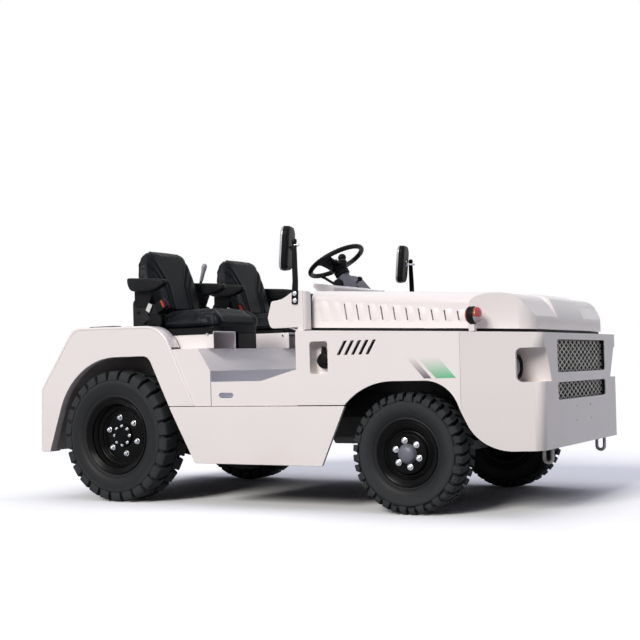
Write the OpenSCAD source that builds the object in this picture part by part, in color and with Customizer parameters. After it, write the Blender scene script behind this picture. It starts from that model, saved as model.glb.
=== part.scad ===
// Airport tow tractor: two seats side by side, hinged hood, steered front wheels.
// Millimetres. +X is forward, +Y is the vehicle's left, +Z is up, the ground is z = 0.

/* [Overall] */
// length over the front face and the rear hitch
overall_len = 2860; // [2600:5:3200]
// width over the side panels
body_w = 1440; // [1340:5:1560]
// front axle to the front face
front_overhang = 600; // [560:5:660]
// rear tyres to the back of the fenders
tail_margin = 146; // [130:1:180]
// back of the fenders to the end of the hitch
hitch_len = 125; // [110:5:160]

/* [Wheels] */
// front tyre diameter over the lugs
front_tyre_d = 548; // [520:2:560]
// front tyre width
front_tyre_w = 165; // [145:1:180]
// rear tyre diameter over the lugs
rear_tyre_d = 678; // [650:2:690]
// rear tyre width
rear_tyre_w = 190; // [170:1:205]
// outer side of the front tyres, inward of the side panels
front_tyre_inset = 29; // [20:1:45]
// outer side of the rear tyres, inward of the fenders
rear_tyre_inset = 16; // [10:1:30]
// lugs on each shoulder of a front tyre
front_lugs = 20; // [14:1:26]
// lugs on each shoulder of a rear tyre
rear_lugs = 26; // [18:1:32]
// wheel nuts on each wheel
nut_count = 6; // [4:1:8]

/* [Panels] */
// thickness of the heavy steel plates
plate_t = 10; // [6:1:14]
// thickness of the bent sheets
sheet_t = 6; // [4:1:8]
// height of the seam between the skirts and the panels above
waist_z = 492; // [470:1:510]
// bottom edge of the side skirts
skirt_z = 212; // [190:1:240]
// top edge of the cowl panels at their rear end
cowl_z = 843; // [820:1:860]
// drop of the cowl panels' top edge towards the front face
cowl_drop = 46; // [20:1:70]
// top of the rear fenders
fender_z = 905; // [880:1:930]
// top of the seat box
seat_box_z = 775; // [760:1:800]
// floor of the footwell
floor_z = 536; // [528:1:546]
// width of the fenders' top
fender_w = 80; // [60:1:100]

/* [Hood] */
// height of the hood's rear top edge
hood_z = 1031; // [1010:1:1050]
// slope of the hood's top in degrees
hood_slope = 3.44; // [1:0.01:6]
// hood side, inward of the side panels
hood_inset = 75; // [60:1:95]
// black gap under the hood
hood_gap = 14; // [10:1:20]
// shell thickness of the hood
hood_t = 7; // [4:1:10]
// louvres on each side of the hood
hood_louvres = 12; // [8:1:13]

/* [Front] */
// thickness of the front shell
shell_t = 16; // [10:1:20]
// bottom edge of the front shell
shell_z = 287; // [260:1:310]
// ends of the grille openings, inward of the side panels
grille_inset = 359; // [330:1:400]
// sideways spacing of the number plate holes
plate_hole_dx = 214; // [180:1:240]
// spacing of the number plate holes in height
plate_hole_dz = 67; // [50:1:90]
// radius of the number plate holes
plate_hole_r = 5; // [3:0.5:7]

/* [Seats] */
// seat width
seat_w = 470; // [420:5:490]

/* [Fits] */
// radial running clearance of each turning joint
run_gap = 0.06; // [0.03:0.01:0.1]
// gap of seated pieces that move
seat_gap = 0.3; // [0.2:0.1:0.5]

/* [Hidden] */
$fn = 64;
half = body_w / 2;
x_front = overall_len / 2;
x_fa = x_front - front_overhang;
x_hitch = -overall_len / 2;
x_tail = x_hitch + hitch_len;
seat_y = half / 2;
grille_half = half - grille_inset;
front_r = front_tyre_d / 2;
rear_r = rear_tyre_d / 2;
lug_front = 46;
lug_rear = 48;
// wheel centres: the lug corners beside the lowest lug stand on the ground
function standing(r, lugs, lug_w) = r * max(cos(asin(lug_w / 2 / r)), cos(180 / lugs - asin(lug_w / 2 / r)));
front_z = standing(front_r, front_lugs, lug_front);
rear_z = standing(rear_r, rear_lugs, lug_rear);
x_ra = x_tail + tail_margin + rear_r;
// the panel heights hold at this rear axle height, and other tyres raise or lower the body
level_z = standing(339, 26, lug_rear);
lift = rear_z - level_z;
front_y = half - front_tyre_inset - front_tyre_w / 2;
rear_y = half - rear_tyre_inset - rear_tyre_w / 2;
// landmarks along the vehicle, each from the nearer axle
x_step = x_ra + rear_r + 283;
x_cowl = x_fa - front_r - 264;
x_bend = x_fa + front_r + 11;
x_bulk = x_cowl + 8;
arch_z = front_z + front_r + 52 - lift;
kingpin_y = front_y - 138;
// hood hinge line
hinge_x = x_cowl + 53;
hinge_z = hood_z - 31;
hinge_y = 300;
hinge_r = 6;
// slopes of the cowl's top edge
function cowl_top(x) = cowl_z - cowl_drop * (x - x_cowl) / (x_front - x_cowl);

function unit(v) = v / norm(v);
function flat2(p) = [p[0], p[1]];
function at(p, i) = p[(i + len(p)) % len(p)];
function to_prev(p, i) = unit(flat2(at(p, i - 1)) - flat2(at(p, i)));
function to_next(p, i) = unit(flat2(at(p, i + 1)) - flat2(at(p, i)));
function turn(p, i) = cross(-to_prev(p, i), to_next(p, i));
function half_angle(p, i) = acos(to_prev(p, i) * to_next(p, i)) / 2;
function tangent(p, i) = p[i][2] / tan(half_angle(p, i));
function centre(p, i) = flat2(p[i])
  + unit(to_prev(p, i) + to_next(p, i)) * p[i][2] / sin(half_angle(p, i));
function ends(p, i) = p[i][2] == 0 ? [flat2(p[i])]
  : [flat2(p[i]) + to_prev(p, i) * tangent(p, i), flat2(p[i]) + to_next(p, i) * tangent(p, i)];
// edges of a closed outline moved inward by t, with the corner radii kept concentric
function inset(p, t) = [for (i = [0 : len(p) - 1])
  let (a = -to_prev(p, i), b = to_next(p, i), n = [-a[1], a[0]], m = [-b[1], b[0]],
       q = flat2(p[i]) + t * (n + m) / (1 + n * m))
  [q[0], q[1], p[i][2] == 0 ? 0 : max(0, p[i][2] - sign(turn(p, i)) * t)]];
// an open line moved sideways by t
function aside(p, t) = [for (i = [0 : len(p) - 1])
  let (a = i == 0 ? unit(p[1] - p[0]) : unit(p[i] - p[i - 1]),
       b = i == len(p) - 1 ? a : unit(p[i + 1] - p[i]),
       n = [-a[1], a[0]], m = [-b[1], b[0]])
  p[i] + t * (n + m) / (1 + n * m)];
function reversed(p) = [for (i = [len(p) - 1 : -1 : 0]) p[i]];

// the arc of one corner: its circle, kept to the corner's own triangle and a little past the chord
module arc(p, i) {
  e = ends(p, i);
  chord = (e[0] + e[1]) / 2;
  intersection() {
    translate(centre(p, i)) circle(r = p[i][2]);
    polygon([e[0], flat2(p[i]), e[1], chord + 0.1 * (centre(p, i) - chord)]);
  }
}
// counter-clockwise outline of [x, y, corner radius], with true arcs
module rounded(p) {
  difference() {
    union() {
      polygon([for (i = [0 : len(p) - 1]) each ends(p, i)]);
      for (i = [0 : len(p) - 1])
        if (p[i][2] > 0 && turn(p, i) > 0) arc(p, i);
    }
    for (i = [0 : len(p) - 1])
      if (p[i][2] > 0 && turn(p, i) < 0) arc(p, i);
  }
}

// bent sheet along an open line, t thick to its left
module bent(p, t) { polygon(concat(p, reversed(aside(p, t)))); }

// side view outline drawn in x and z, between two y values
module side(y0, y1) {
  translate([0, y1, 0]) rotate([90, 0, 0]) linear_extrude(y1 - y0) children();
}

module raised() { translate([0, 0, lift]) children(); }

module pair() {
  children();
  mirror([0, 1, 0]) children();
}
module each_seat() {
  translate([0, -seat_y, 0]) children();
  translate([0, seat_y, 0]) children();
}

module box(x, y, z) { translate([x[0], y[0], z[0]]) cube([x[1] - x[0], y[1] - y[0], z[1] - z[0]]); }

module rod_x(x0, x1, r) { translate([x0, 0, 0]) rotate([0, 90, 0]) cylinder(r = r, h = x1 - x0); }

module rod_y(y0, y1, r) { translate([0, y1, 0]) rotate([90, 0, 0]) cylinder(r = r, h = y1 - y0); }

// Frame: two rails above the axles, cross members and outriggers to the side panels
rail_y = 250;
rail_w = 70;
rail_z = [floor_z - sheet_t - 110, floor_z - sheet_t];
outrigger_x = [x_step + 60, x_cowl - 60];
module frame() color("dimgray") {
  difference() {
    union() {
      pair() box([x_tail + 40, x_front - 59], [-rail_y - rail_w, -rail_y], rail_z);
      box([x_front - 60, x_front - shell_t], [-rail_y - rail_w, rail_y + rail_w],
          [rail_z[0] - 60, rail_z[0] + 50]);
      for (x = [x_tail + 60, x_ra + 330, x_cowl + 10, x_fa + 330])
        box([x, x + 70], [-rail_y - 1, rail_y + 1], [rail_z[0] + 15, rail_z[1] - 15]);
      for (x = outrigger_x)
        pair() box([x - 30, x + 30], [-half + plate_t + sheet_t, -rail_y - rail_w + 1],
                   [waist_z - 70, rail_z[1]]);
    }
    for (x = outrigger_x)
      pair() box([x - 24, x + 24], [-half, -rail_y - rail_w - 20], [waist_z - 64, rail_z[1] - 6]);
  }
}

// Side skirts: heavy lower plates with slanted ends
module side_skirts() color("white")
  pair() side(-half, -half + plate_t + sheet_t) rounded([
    [x_ra + rear_r + 180, skirt_z, 12], [x_fa - front_r - 138, skirt_z, 12],
    [x_fa - front_r - 12, waist_z - 3, 4], [x_ra + rear_r + 29, waist_z - 3, 4]]);

// Rear fenders: outer plate with the wheel arch, turned in along its whole edge
tail_z = 254;
fender_line = [
  [x_tail, tail_z, 12], [x_ra, tail_z, 0], [x_ra, waist_z, 0], [x_ra + rear_r + 184, waist_z, 0],
  [x_ra + rear_r - 5, fender_z - 10, 160], [x_ra - rear_r + 93, fender_z, 100], [x_tail + 10, 586, 25]];
arch_top = level_z + rear_r + 67.4;
fender_arch = [
  [x_ra - rear_r - 103, 200, 0], [x_ra + rear_r + 172, 200, 0],
  [x_ra + rear_r - 95, arch_top, 55], [x_ra - rear_r + 91, arch_top, 400]];
arch_lip = 45;
module rear_fenders() color("white") pair() {
  difference() {
    union() {
      difference() {
        side(-half, -half + fender_w) rounded(fender_line);
        side(-half + sheet_t, -half + fender_w + 1) rounded(inset(fender_line, sheet_t));
      }
      intersection() {
        side(-half, -half + arch_lip) rounded(fender_line);
        side(-half, -half + arch_lip) rounded(inset(fender_arch, -sheet_t));
      }
    }
    side(-half - 1, -half + fender_w + 2) rounded(fender_arch);
    // the turned edge stops above the seat box
    side(-half + sheet_t, -half + fender_w + 2) polygon([
      [x_ra + rear_r + 41, waist_z - 10], [x_ra + rear_r + 221, waist_z - 10],
      [x_ra + rear_r + 91, seat_box_z + 10], [x_ra + rear_r - 9, seat_box_z + 10]]);
  }
}

// Rear body between the fenders: deck behind the seats, sloped back and tail plate
deck_x = x_step - 582;
body_in = half - fender_w - seat_gap;
module rear_body() color("white") {
  side(-body_in, body_in) bent([
    [x_tail, tail_z], [x_tail, 586], [x_ra - rear_r + 68, fender_z - 35],
    [x_ra - rear_r + 114, fender_z - 10], [deck_x, fender_z - 10], [deck_x, seat_box_z]], -sheet_t);
  // tail plate carries the hitch
  box([x_tail + sheet_t - 1, x_tail + 40], [-340, 340], [tail_z, 560]);
}

// Tow hitch: a jaw of two plates on the tail plate, with a removable pin
hitch_z = 400;
hitch_pin_r = 17;
hitch_pin_x = x_hitch + 55;
module hitch_plate() difference() {
  linear_extrude(22) rounded([
    [x_hitch, -70, 60], [x_tail, -95, 0], [x_tail, 95, 0], [x_hitch, 70, 60]]);
  translate([hitch_pin_x, 0, -1]) cylinder(r = hitch_pin_r + run_gap, h = 24);
}
module tow_hitch() color("dimgray") {
  box([x_tail - 14, x_tail], [-120, 120], [hitch_z - 110, hitch_z + 110]);
  for (dz = [-56, 34]) translate([0, 0, hitch_z + dz]) hitch_plate();
}

module hitch_pin() color("silver") translate([hitch_pin_x, 0, 0]) {
  translate([0, 0, hitch_z - 80]) cylinder(r = hitch_pin_r, h = 136 + seat_gap);
  translate([0, 0, hitch_z + 56 + seat_gap]) cylinder(r = 30, h = 14);
  difference() {
    translate([0, 0, hitch_z + 70]) translate([0, 6, 26]) rotate([90, 0, 0]) cylinder(r = 32, h = 12);
    translate([0, 7, hitch_z + 96]) rotate([90, 0, 0]) cylinder(r = 21, h = 14);
    translate([-40, -8, hitch_z + 20]) cube([80, 16, 36]);
  }
}

// Seat box: side panels, top sheet and slanted heel board
box_slant_x = x_step - 75;
box_slant_z = 663;
module seat_box() color("white") {
  pair() side(-half + sheet_t + seat_gap, -half + sheet_t + 12) rounded([
    [x_step - 202, waist_z, 0], [x_step - 2, waist_z, 0], [x_step - 2, box_slant_z, 6],
    [box_slant_x, seat_box_z, 6], [x_step - 322, seat_box_z, 0]]);
  side(-half + sheet_t + 12, half - sheet_t - 12) bent([
    [x_step - 2, floor_z], [x_step - 2, box_slant_z],
    [box_slant_x, seat_box_z], [x_step - 222, seat_box_z]], sheet_t);
  box([deck_x - sheet_t, x_step - 221], [-body_in, body_in], [seat_box_z - sheet_t, seat_box_z]);
}

// Seat stands: an open fronted sheet box on the right of each seat, and a closed leg on its left
stand_w = 200;
stand_y = [-seat_w / 2 - 35, -seat_w / 2 - 35 + stand_w];
stand_x = [x_step - 492, x_step - 36];
stand_top = 861;
leg_y = [70, 240];
leg_x = [x_step - 402, x_step - 113];
module seat_stands() color("white") each_seat() difference() {
  box(stand_x, stand_y, [seat_box_z, stand_top]);
  box([stand_x[0] + sheet_t, stand_x[1] + 1],
      [stand_y[0] + sheet_t, stand_y[1] - sheet_t], [seat_box_z - 1, stand_top - sheet_t]);
}

// Step panels: the outer walls of the footwell, each with a hand slot
step_z = 610;
slot_x = x_step + 88;
module step_panels() color("white") pair() side(-half + sheet_t, -half + plate_t + sheet_t) difference() {
  rounded([
    [x_step + 2, waist_z, 0], [x_cowl - 2, waist_z, 0], [x_cowl - 2, step_z + 52, 0],
    [x_step + 0.59 * (x_cowl - x_step), step_z, 40], [x_step + 2, step_z, 4]]);
  rounded([
    [slot_x - 42, waist_z + 39, 12.4], [slot_x + 42, waist_z + 39, 12.4],
    [slot_x + 42, waist_z + 64, 12.4], [slot_x - 42, waist_z + 64, 12.4]]);
}

// Floor pan: floor, toe board and firewall in one bent sheet
module floor_pan() color("gray") {
  side(-half + plate_t + sheet_t, half - plate_t - sheet_t) bent([
    [x_step - 2, floor_z - sheet_t], [x_cowl - 150, floor_z - sheet_t],
    [x_bulk, floor_z + 130], [x_bulk, cowl_z - 40]], sheet_t);
  // upper firewall behind the hood, with the hood's hinge lugs
  box([x_bulk - sheet_t, x_bulk], [-half + 30, half - 30], [cowl_z - 41, hinge_z + 20]);
  pair() difference() {
    union() {
      for (y = [-hinge_y - 24, -hinge_y + 12])
        side(y, y + 12) rounded([
          [x_bulk - 1, hinge_z - 60, 0], [hinge_x + 14, hinge_z - 14, 13],
          [hinge_x + 14, hinge_z + 14, 13], [hinge_x - 6, hinge_z + 14, 6], [x_bulk - 1, hinge_z - 22, 0]]);
      translate([hinge_x, 0, hinge_z]) rod_y(-hinge_y - 13, -hinge_y + 13, hinge_r);
    }
  }
}

// Cowl panels: side panels ahead of the footwell, with five slanted vent slots
fuel_x = [x_cowl + 75, x_cowl + 170];
fuel_z = [637, 788];
module cowl_line() rounded([
  [x_cowl, waist_z + 2, 0], [x_fa - front_r - 13, waist_z + 2, 0], [x_fa - front_r + 88, arch_z, 330],
  [x_fa + front_r - 48, arch_z, 170], [x_bend - 0.5, 460, 0],
  [x_bend - 0.5, cowl_top(x_bend - 0.5), 0], [x_cowl, cowl_z, 10]]);
module cowl_panel() {
  difference() {
    side(-half, -half + plate_t) cowl_line();
    for (i = [0 : 4]) translate([x_cowl + 217 + i * 37, 0, 722])
      side(-half - 1, -half + plate_t + 1) polygon([[0, 0], [17, 0], [56, 65], [39, 65]]);
  }
  // ledge under the hood's edge
  intersection() {
    side(-half + 1, -half + hood_inset + 40) cowl_line();
    translate([x_cowl, 0, cowl_z]) rotate([0, atan(cowl_drop / (x_front - x_cowl)), 0])
      box([45, x_front - x_cowl], [-half, 0], [-sheet_t, 40]);
  }
}
module cowl_panels() color("white") {
  mirror([0, 1, 0]) cowl_panel();
  difference() {
    union() {
      cowl_panel();
      // pocket behind the filler opening
      box([fuel_x[0] - 8, fuel_x[1] + 8], [-half + plate_t - 1, -half + 70], [fuel_z[0] - 8, fuel_z[1] + 8]);
    }
    side(-half - 1, -half + 64) rounded([
      [fuel_x[0], fuel_z[0], 14], [fuel_x[1], fuel_z[0], 14],
      [fuel_x[1], fuel_z[1], 14], [fuel_x[0], fuel_z[1], 14]]);
  }
}

// Front shell: tapered sides and flat front face in one heavy plate
shell_plan = [
  [x_bend - 200, -half, 0], [x_bend, -half, 0], [x_front, -half + 156, 60],
  [x_front, half - 156, 60], [x_bend, half, 0], [x_bend - 200, half, 0]];
// headlamp pockets: back wall, rear edge of the side opening, lower and upper edge
notch_x = x_front - 140;
notch_open_x = x_front - 102;
notch_z = [584, 732];
// slanted inner wall of the pockets, at the lower and the upper edge
notch_y = [half - 274, half - 204];
module lamp_wedge(x) translate([x, 0, 0]) rotate([90, 0, 90]) linear_extrude(x_front - x + sheet_t) polygon([
  [-half, notch_z[0]], [-notch_y[0], notch_z[0]], [-notch_y[1], notch_z[1]], [-half, notch_z[1]]]);
module lamp_pocket() {
  intersection() {
    lamp_wedge(notch_x);
    linear_extrude(notch_z[1] + 1) rounded(inset(shell_plan, shell_t));
  }
  intersection() {
    lamp_wedge(notch_open_x);
    side(-half, -notch_y[0]) rounded([
      [notch_open_x, notch_z[0], 24], [x_front + 50, notch_z[0], 0],
      [x_front + 50, notch_z[1], 0], [notch_open_x, notch_z[1], 24]]);
  }
}
module shell_side() rounded([
  [x_bend + 0.5, 459, 0], [x_bend + 73, shell_z, 195], [x_front + 90, shell_z, 0],
  [x_front + 90, cowl_top(x_front + 90), 0], [x_bend + 0.5, cowl_top(x_bend + 0.5), 0]]);
module front_shell() color("white") difference() {
  union() {
    intersection() {
      side(-half, half) shell_side();
      difference() {
        linear_extrude(900) rounded(shell_plan);
        translate([0, 0, -1]) linear_extrude(902) rounded(inset(shell_plan, shell_t));
      }
    }
    // ledge under the hood's edge
    intersection() {
      side(-half, half) shell_side();
      difference() {
        linear_extrude(900) rounded(shell_plan);
        translate([0, 0, -1]) linear_extrude(902) rounded(inset(shell_plan, hood_inset + 40));
      }
      translate([x_cowl, 0, cowl_z]) rotate([0, atan(cowl_drop / (x_front - x_cowl)), 0])
        box([0, 1300], [-half, half], [-sheet_t, 40]);
    }
    // pockets around the headlamps
    intersection() {
      linear_extrude(900) rounded(shell_plan);
      pair() box([notch_x - sheet_t, x_front], [-half, -notch_y[0] + 10],
                 [notch_z[0] - sheet_t, notch_z[1] + sheet_t]);
    }
  }
  pair() lamp_pocket();
  for (z = [[620, 767], [498, 576]])
    translate([x_front - shell_t - 1, 0, 0]) rotate([90, 0, 90]) linear_extrude(shell_t + 2) rounded([
      [-grille_half, z[0], 12], [grille_half, z[0], 12], [grille_half, z[1], 12], [-grille_half, z[1], 12]]);
  for (y = [-1, 1], z = [-1, 1])
    translate([0, y * plate_hole_dx / 2, 428.5 + z * plate_hole_dz / 2])
      rod_x(x_front - shell_t - 1, x_front + 1, plate_hole_r);
}

// Grille: expanded metal behind the two openings
mesh_w = 62;
mesh_h = 30;
mesh_bar = 3;
mesh_t = 4;
module mesh(z0, z1) {
  nx = ceil(2 * grille_half / mesh_w) + 1;
  nz = ceil((z1 - z0) / mesh_h) + 1;
  difference() {
    translate([-grille_half - 12, z0 - 10]) square([2 * grille_half + 24, z1 - z0 + 20]);
    intersection() {
      translate([-grille_half - 4, z0 - 4]) square([2 * grille_half + 8, z1 - z0 + 8]);
      for (i = [-nx : nx], j = [0 : 2 * nz])
        if ((i + j) % 2 == 0)
          translate([i * mesh_w / 2, z0 + j * mesh_h / 2])
            polygon([[-mesh_w / 2 + mesh_bar * 2, 0], [0, -mesh_h / 2 + mesh_bar / 2],
                     [mesh_w / 2 - mesh_bar * 2, 0], [0, mesh_h / 2 - mesh_bar / 2]]);
    }
  }
}
module grille_mesh() color("darkgray")
  translate([x_front - shell_t - mesh_t, 0, 0]) rotate([90, 0, 90]) linear_extrude(mesh_t) {
    mesh(620, 767);
    mesh(498, 576);
  }

// Radiator between the rails, behind the grille
module radiator() color("black")
  box([x_front - 140, x_front - 80], [-rail_y + seat_gap, rail_y - seat_gap], [rail_z[0], 770]);

// Engine and gearbox as one block, with the shaft to the rear axle
module powertrain() color("dimgray") {
  box([x_cowl + 90, x_fa + 325], [-rail_y + seat_gap, rail_y - seat_gap], [rail_z[0] - 30, 790]);
  box([x_step + 90, x_cowl + 91], [-150, 150], [rail_z[0] - 110, rail_z[0] + 14]);
  translate([0, 0, level_z]) rod_x(x_ra + 170, x_step + 91, 38);
}

// Hood: one shell with a rounded nose, louvred sides and two hinge lugs
hood_half = half - hood_inset;
hood_x = [x_cowl + 43, x_front - 45];
hood_plan = [
  [hood_x[0], -hood_half, 0], [x_bend - 15, -hood_half, 0], [hood_x[1], -hood_half + 133, 110],
  [hood_x[1], hood_half - 133, 110], [x_bend - 15, hood_half, 0], [hood_x[0], hood_half, 0]];
function hood_top(x) = hood_z - tan(hood_slope) * (x - hood_x[0]);
function hood_low(x) = cowl_top(x) + hood_gap;
module hood_solid(t, down) intersection() {
  side(-half, half) rounded([
    [hood_x[0] - down, hood_low(hood_x[0]) - down * 2, 0],
    [hood_x[1] - t, hood_low(hood_x[1]) - down * 2, 0], [hood_x[1] - t, hood_low(hood_x[1]) + 50, 40],
    [hood_x[1] - 75 - t, hood_top(hood_x[1] - 75) - t, 110 - t],
    [hood_x[0] - down, hood_top(hood_x[0] - down) - t, 0]]);
  linear_extrude(1300) rounded(t == 0 ? hood_plan : [for (p = inset(hood_plan, t))
    [p[0] < hood_x[0] + 2 * t ? hood_x[0] - down : p[0], p[1], p[2]]]);
  translate([hood_x[0], 0, hood_z]) rotate([0, hood_slope, 0]) translate([-100, 0, 0])
    rotate([90, 0, 90]) linear_extrude(1600) rounded([
      [-hood_half + t, -500, 0], [hood_half - t, -500, 0],
      [hood_half - 14 - t, -t, 55 - t], [-hood_half + 14 + t, -t, 55 - t]]);
}
// slanted louvre slits, shorter towards the nose
louvre_step = 62;
louvre_w = 6;
louvre_lean = 0.17;
function louvre_z(x) = [hood_z - 137 - 0.046 * (x - hood_x[0]), hood_z - 52 - 0.104 * (x - hood_x[0])];
module louvre(x) {
  z = louvre_z(x);
  top_x = x - louvre_lean * (z[1] - z[0]);
  polygon([[x, z[0]], [x + louvre_w, z[0]], [top_x + louvre_w, z[1]], [top_x, z[1]]]);
}
module hood() color("white") {
  difference() {
    hood_solid(0, 0);
    hood_solid(hood_t, 20);
    for (i = [0 : hood_louvres - 1])
      pair() side(-half, -hood_half + hood_t + 30) louvre(hood_x[0] + 60 + i * louvre_step);
  }
  // hinge lugs hang from the hood's top
  pair() difference() {
    union() {
      box([hinge_x - 11, hinge_x + 11], [-hinge_y - 11.7, -hinge_y + 11.7],
          [hinge_z, hood_top(hinge_x + 11) - hood_t + 1]);
      translate([hinge_x, 0, hinge_z]) rod_y(-hinge_y - 11.7, -hinge_y + 11.7, 11);
    }
    translate([hinge_x, 0, hinge_z]) rod_y(-hinge_y - 20, -hinge_y + 20, hinge_r + run_gap);
  }
}

// Rubber seal on the ledge under the hood's edge
seal_h = hood_gap - 6;
module hood_seal() color("black") intersection() {
  difference() {
    linear_extrude(900) rounded(inset(hood_plan, 12));
    translate([0, 0, -1]) linear_extrude(902) rounded([for (p = inset(hood_plan, 26))
      [p[0] < hood_x[0] + 60 ? hood_x[0] - 20 : p[0], p[1], p[2]]]);
  }
  translate([x_cowl, 0, cowl_z]) rotate([0, atan(cowl_drop / (x_front - x_cowl)), 0])
    box([0, 1300], [-half, half], [0, seal_h]);
}

// Wing plates beside the dash
wing_t = 12;
module wing_plates() color("white") pair() side(-half + plate_t, -half + plate_t + wing_t) rounded([
  [x_cowl - 143, 857, 25], [x_bulk + 1, 857, 0], [x_bulk + 1, 780, 0], [x_cowl + 40, 780, 0],
  [x_cowl + 40, 1030, 8], [x_cowl - 6, 1030, 30], [x_cowl - 78, 991, 30], [x_cowl - 134, 985, 15],
  [x_cowl - 156, 908, 20]]);

// Dash: sloped panel between the wing plates, with a raised instrument housing
dash_foot = [x_cowl - 125, 880];
dash_head = [x_cowl - 12, 1022];
dash_back = x_bulk - sheet_t;
// place on the sloped face at a height
function dash_face(z) =
  dash_foot[0] + (dash_head[0] - dash_foot[0]) * (z - dash_foot[1]) / (dash_head[1] - dash_foot[1]);
module dash() color("white") {
  side(-half + plate_t + wing_t, half - plate_t - wing_t) difference() {
    polygon([dash_foot, [dash_back, dash_foot[1] - 40], [dash_back, dash_head[1]], dash_head]);
    polygon([
      [dash_foot[0] + 16, dash_foot[1] + 3], [dash_back - 6, dash_foot[1] - 30],
      [dash_back - 6, dash_head[1] - 16]]);
  }
  side(-seat_y + 20, seat_y - 150) rounded([
    [dash_face(994), 994, 0], [dash_back, dash_head[1] - 10, 0], [dash_back, dash_head[1] + 44, 10],
    [x_cowl - 112, dash_head[1] + 66, 12], [x_cowl - 118, dash_head[1] + 50, 6]]);
}

// Steering: column, console and the wheel with its knob
sw_tilt = 28;
sw_pos = [x_cowl - 367, seat_y, 1258];
sw_r = 185;
module on_column() translate(sw_pos) rotate([0, -sw_tilt, 0]) children();
// column tube and its sheet cover, which stands on the dash
module steering_column() color("dimgray") {
  on_column() {
    translate([0, 0, -30]) cylinder(r = 10, h = 40);
    translate([0, 0, -190]) cylinder(r = 34, h = 162 - seat_gap);
  }
  side(seat_y - 70, seat_y + 70) polygon([
    [dash_back, dash_head[1] + seat_gap], [dash_back, dash_head[1] + 26],
    [sw_pos[0] + 186, sw_pos[2] - 169], [sw_pos[0] + 116, sw_pos[2] - 91],
    [sw_pos[0] + 74, sw_pos[2] - 82], [sw_pos[0] + 14, sw_pos[2] - 160], [sw_pos[0] + 60, sw_pos[2] - 258],
    [dash_face(960) - seat_gap, 960], [dash_head[0] - seat_gap, dash_head[1] + seat_gap]]);
}

module steering_wheel() color("black") on_column() difference() {
  union() {
    rotate_extrude() translate([sw_r - 14, 0]) circle(r = 14, $fn = 24);
    for (a = [90, 210, 330]) rotate([0, 0, a])
      translate([20, 0, -18]) rotate([0, 84, 0]) cylinder(r = 9, h = sw_r - 34, $fn = 24);
    translate([0, 0, -28]) cylinder(r = 34, h = 36);
    rotate([0, 0, -70]) translate([sw_r - 14, 0, 0]) {
      cylinder(r = 7, h = 40);
      translate([0, 0, 52]) sphere(r = 22);
    }
  }
  translate([0, 0, -40]) cylinder(r = 10 + run_gap, h = 60);
}

// Seats: base pan, cushion, back and folding armrests
seat_x = [x_step - 532, x_step - 42];
cushion_z = [880, 978];
back_lean = 16;
back_foot = [seat_x[0] + 112, cushion_z[1] - 25];
// outline turned back about the foot of the seat back
function leaned(p) = [for (q = p) [
  back_foot[0] + q[0] * cos(back_lean) - q[1] * sin(back_lean),
  back_foot[1] + q[0] * sin(back_lean) + q[1] * cos(back_lean), q[2]]];
module seat_frames() color("black") each_seat() {
  box(leg_x, leg_y, [seat_box_z, stand_top + 1]);
  box([seat_x[0] + 10, seat_x[1] - 60], [-seat_w / 2 + 10, seat_w / 2 - 10], [stand_top, cushion_z[0]]);
  for (s = [-1, 1]) translate([0, s * (seat_w / 2 + 8), 0])
    side(-8, 8) rounded([
      [seat_x[0] - 20, stand_top, 20], [seat_x[0] + 150, stand_top, 20],
      [seat_x[0] + 120, cushion_z[1] + 30, 30], [seat_x[0] - 20, cushion_z[1] + 80, 30]]);
}

module seat_cushions() color("black") each_seat() intersection() {
  side(-seat_w / 2, seat_w / 2) rounded([
    [seat_x[0] + 132, cushion_z[0], 0], [seat_x[1] - 25, cushion_z[0], 15],
    [seat_x[1], cushion_z[1], 30], [seat_x[0] + 132, cushion_z[1] - 12, 0]]);
  linear_extrude(cushion_z[1] + 50) rounded([
    [seat_x[0], -seat_w / 2, 0], [seat_x[1] + 40, -seat_w / 2, 110],
    [seat_x[1] + 40, seat_w / 2, 110], [seat_x[0], seat_w / 2, 0]]);
}

// seat backs are narrower at the shoulders
back_top_w = 330;
module seat_backs() color("black") each_seat() intersection() {
  side(-seat_w / 2, seat_w / 2) rounded(leaned([
    [-72, 0, 25], [0, 0, 25], [0, 366, 30], [-60, 366, 26]]));
  translate([seat_x[0] - 100, 0, 0]) rotate([90, 0, 90]) linear_extrude(300) rounded([
    [-seat_w / 2, back_foot[1] - 40, 0], [seat_w / 2, back_foot[1] - 40, 0],
    [seat_w / 2, back_foot[1] + 200, 90],
    [back_top_w / 2, back_foot[1] + 358, 50], [-back_top_w / 2, back_foot[1] + 358, 50],
    [-seat_w / 2, back_foot[1] + 200, 90]]);
}

arm_z = 1118;
module armrests() color("black") each_seat()
  for (s = [-1, 1]) translate([0, s * (seat_w / 2 + 30), 0]) {
    side(-25, 25) rounded([
      [seat_x[0] - 12, arm_z - 34, 24], [seat_x[0] + 235, arm_z - 26, 20],
      [seat_x[0] + 235, arm_z + 26, 20], [seat_x[0] - 12, arm_z + 32, 28]]);
    translate([seat_x[0] + 12, 0, arm_z]) rod_y(-30, 30, 12);
  }

// Hitch lever on the deck, leaning forward
lever_x = deck_x - 42;
lever_lean = 17;
module hand_lever() color("black") {
  box([lever_x - 43, lever_x + 22], [-35, 35], [fender_z - 10, fender_z + 22]);
  translate([lever_x, 0, fender_z + 20]) rotate([0, lever_lean, 0]) {
    cylinder(r = 9, h = 270);
    translate([0, 0, 262]) cylinder(r = 14, h = 96);
  }
}

// Pedals hung from the firewall in front of the driver
module pedal() {
  box([-80, 0], [-8, 8], [740, 756]);
  box([-80, -66], [-8, 8], [650, 756]);
  box([-92, -79], [-34, 34], [640, 720]);
}
module pedals() color("black") for (y = [seat_y - 150, seat_y - 20, seat_y + 110])
  translate([x_bulk - sheet_t, y, 0]) pedal();

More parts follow.
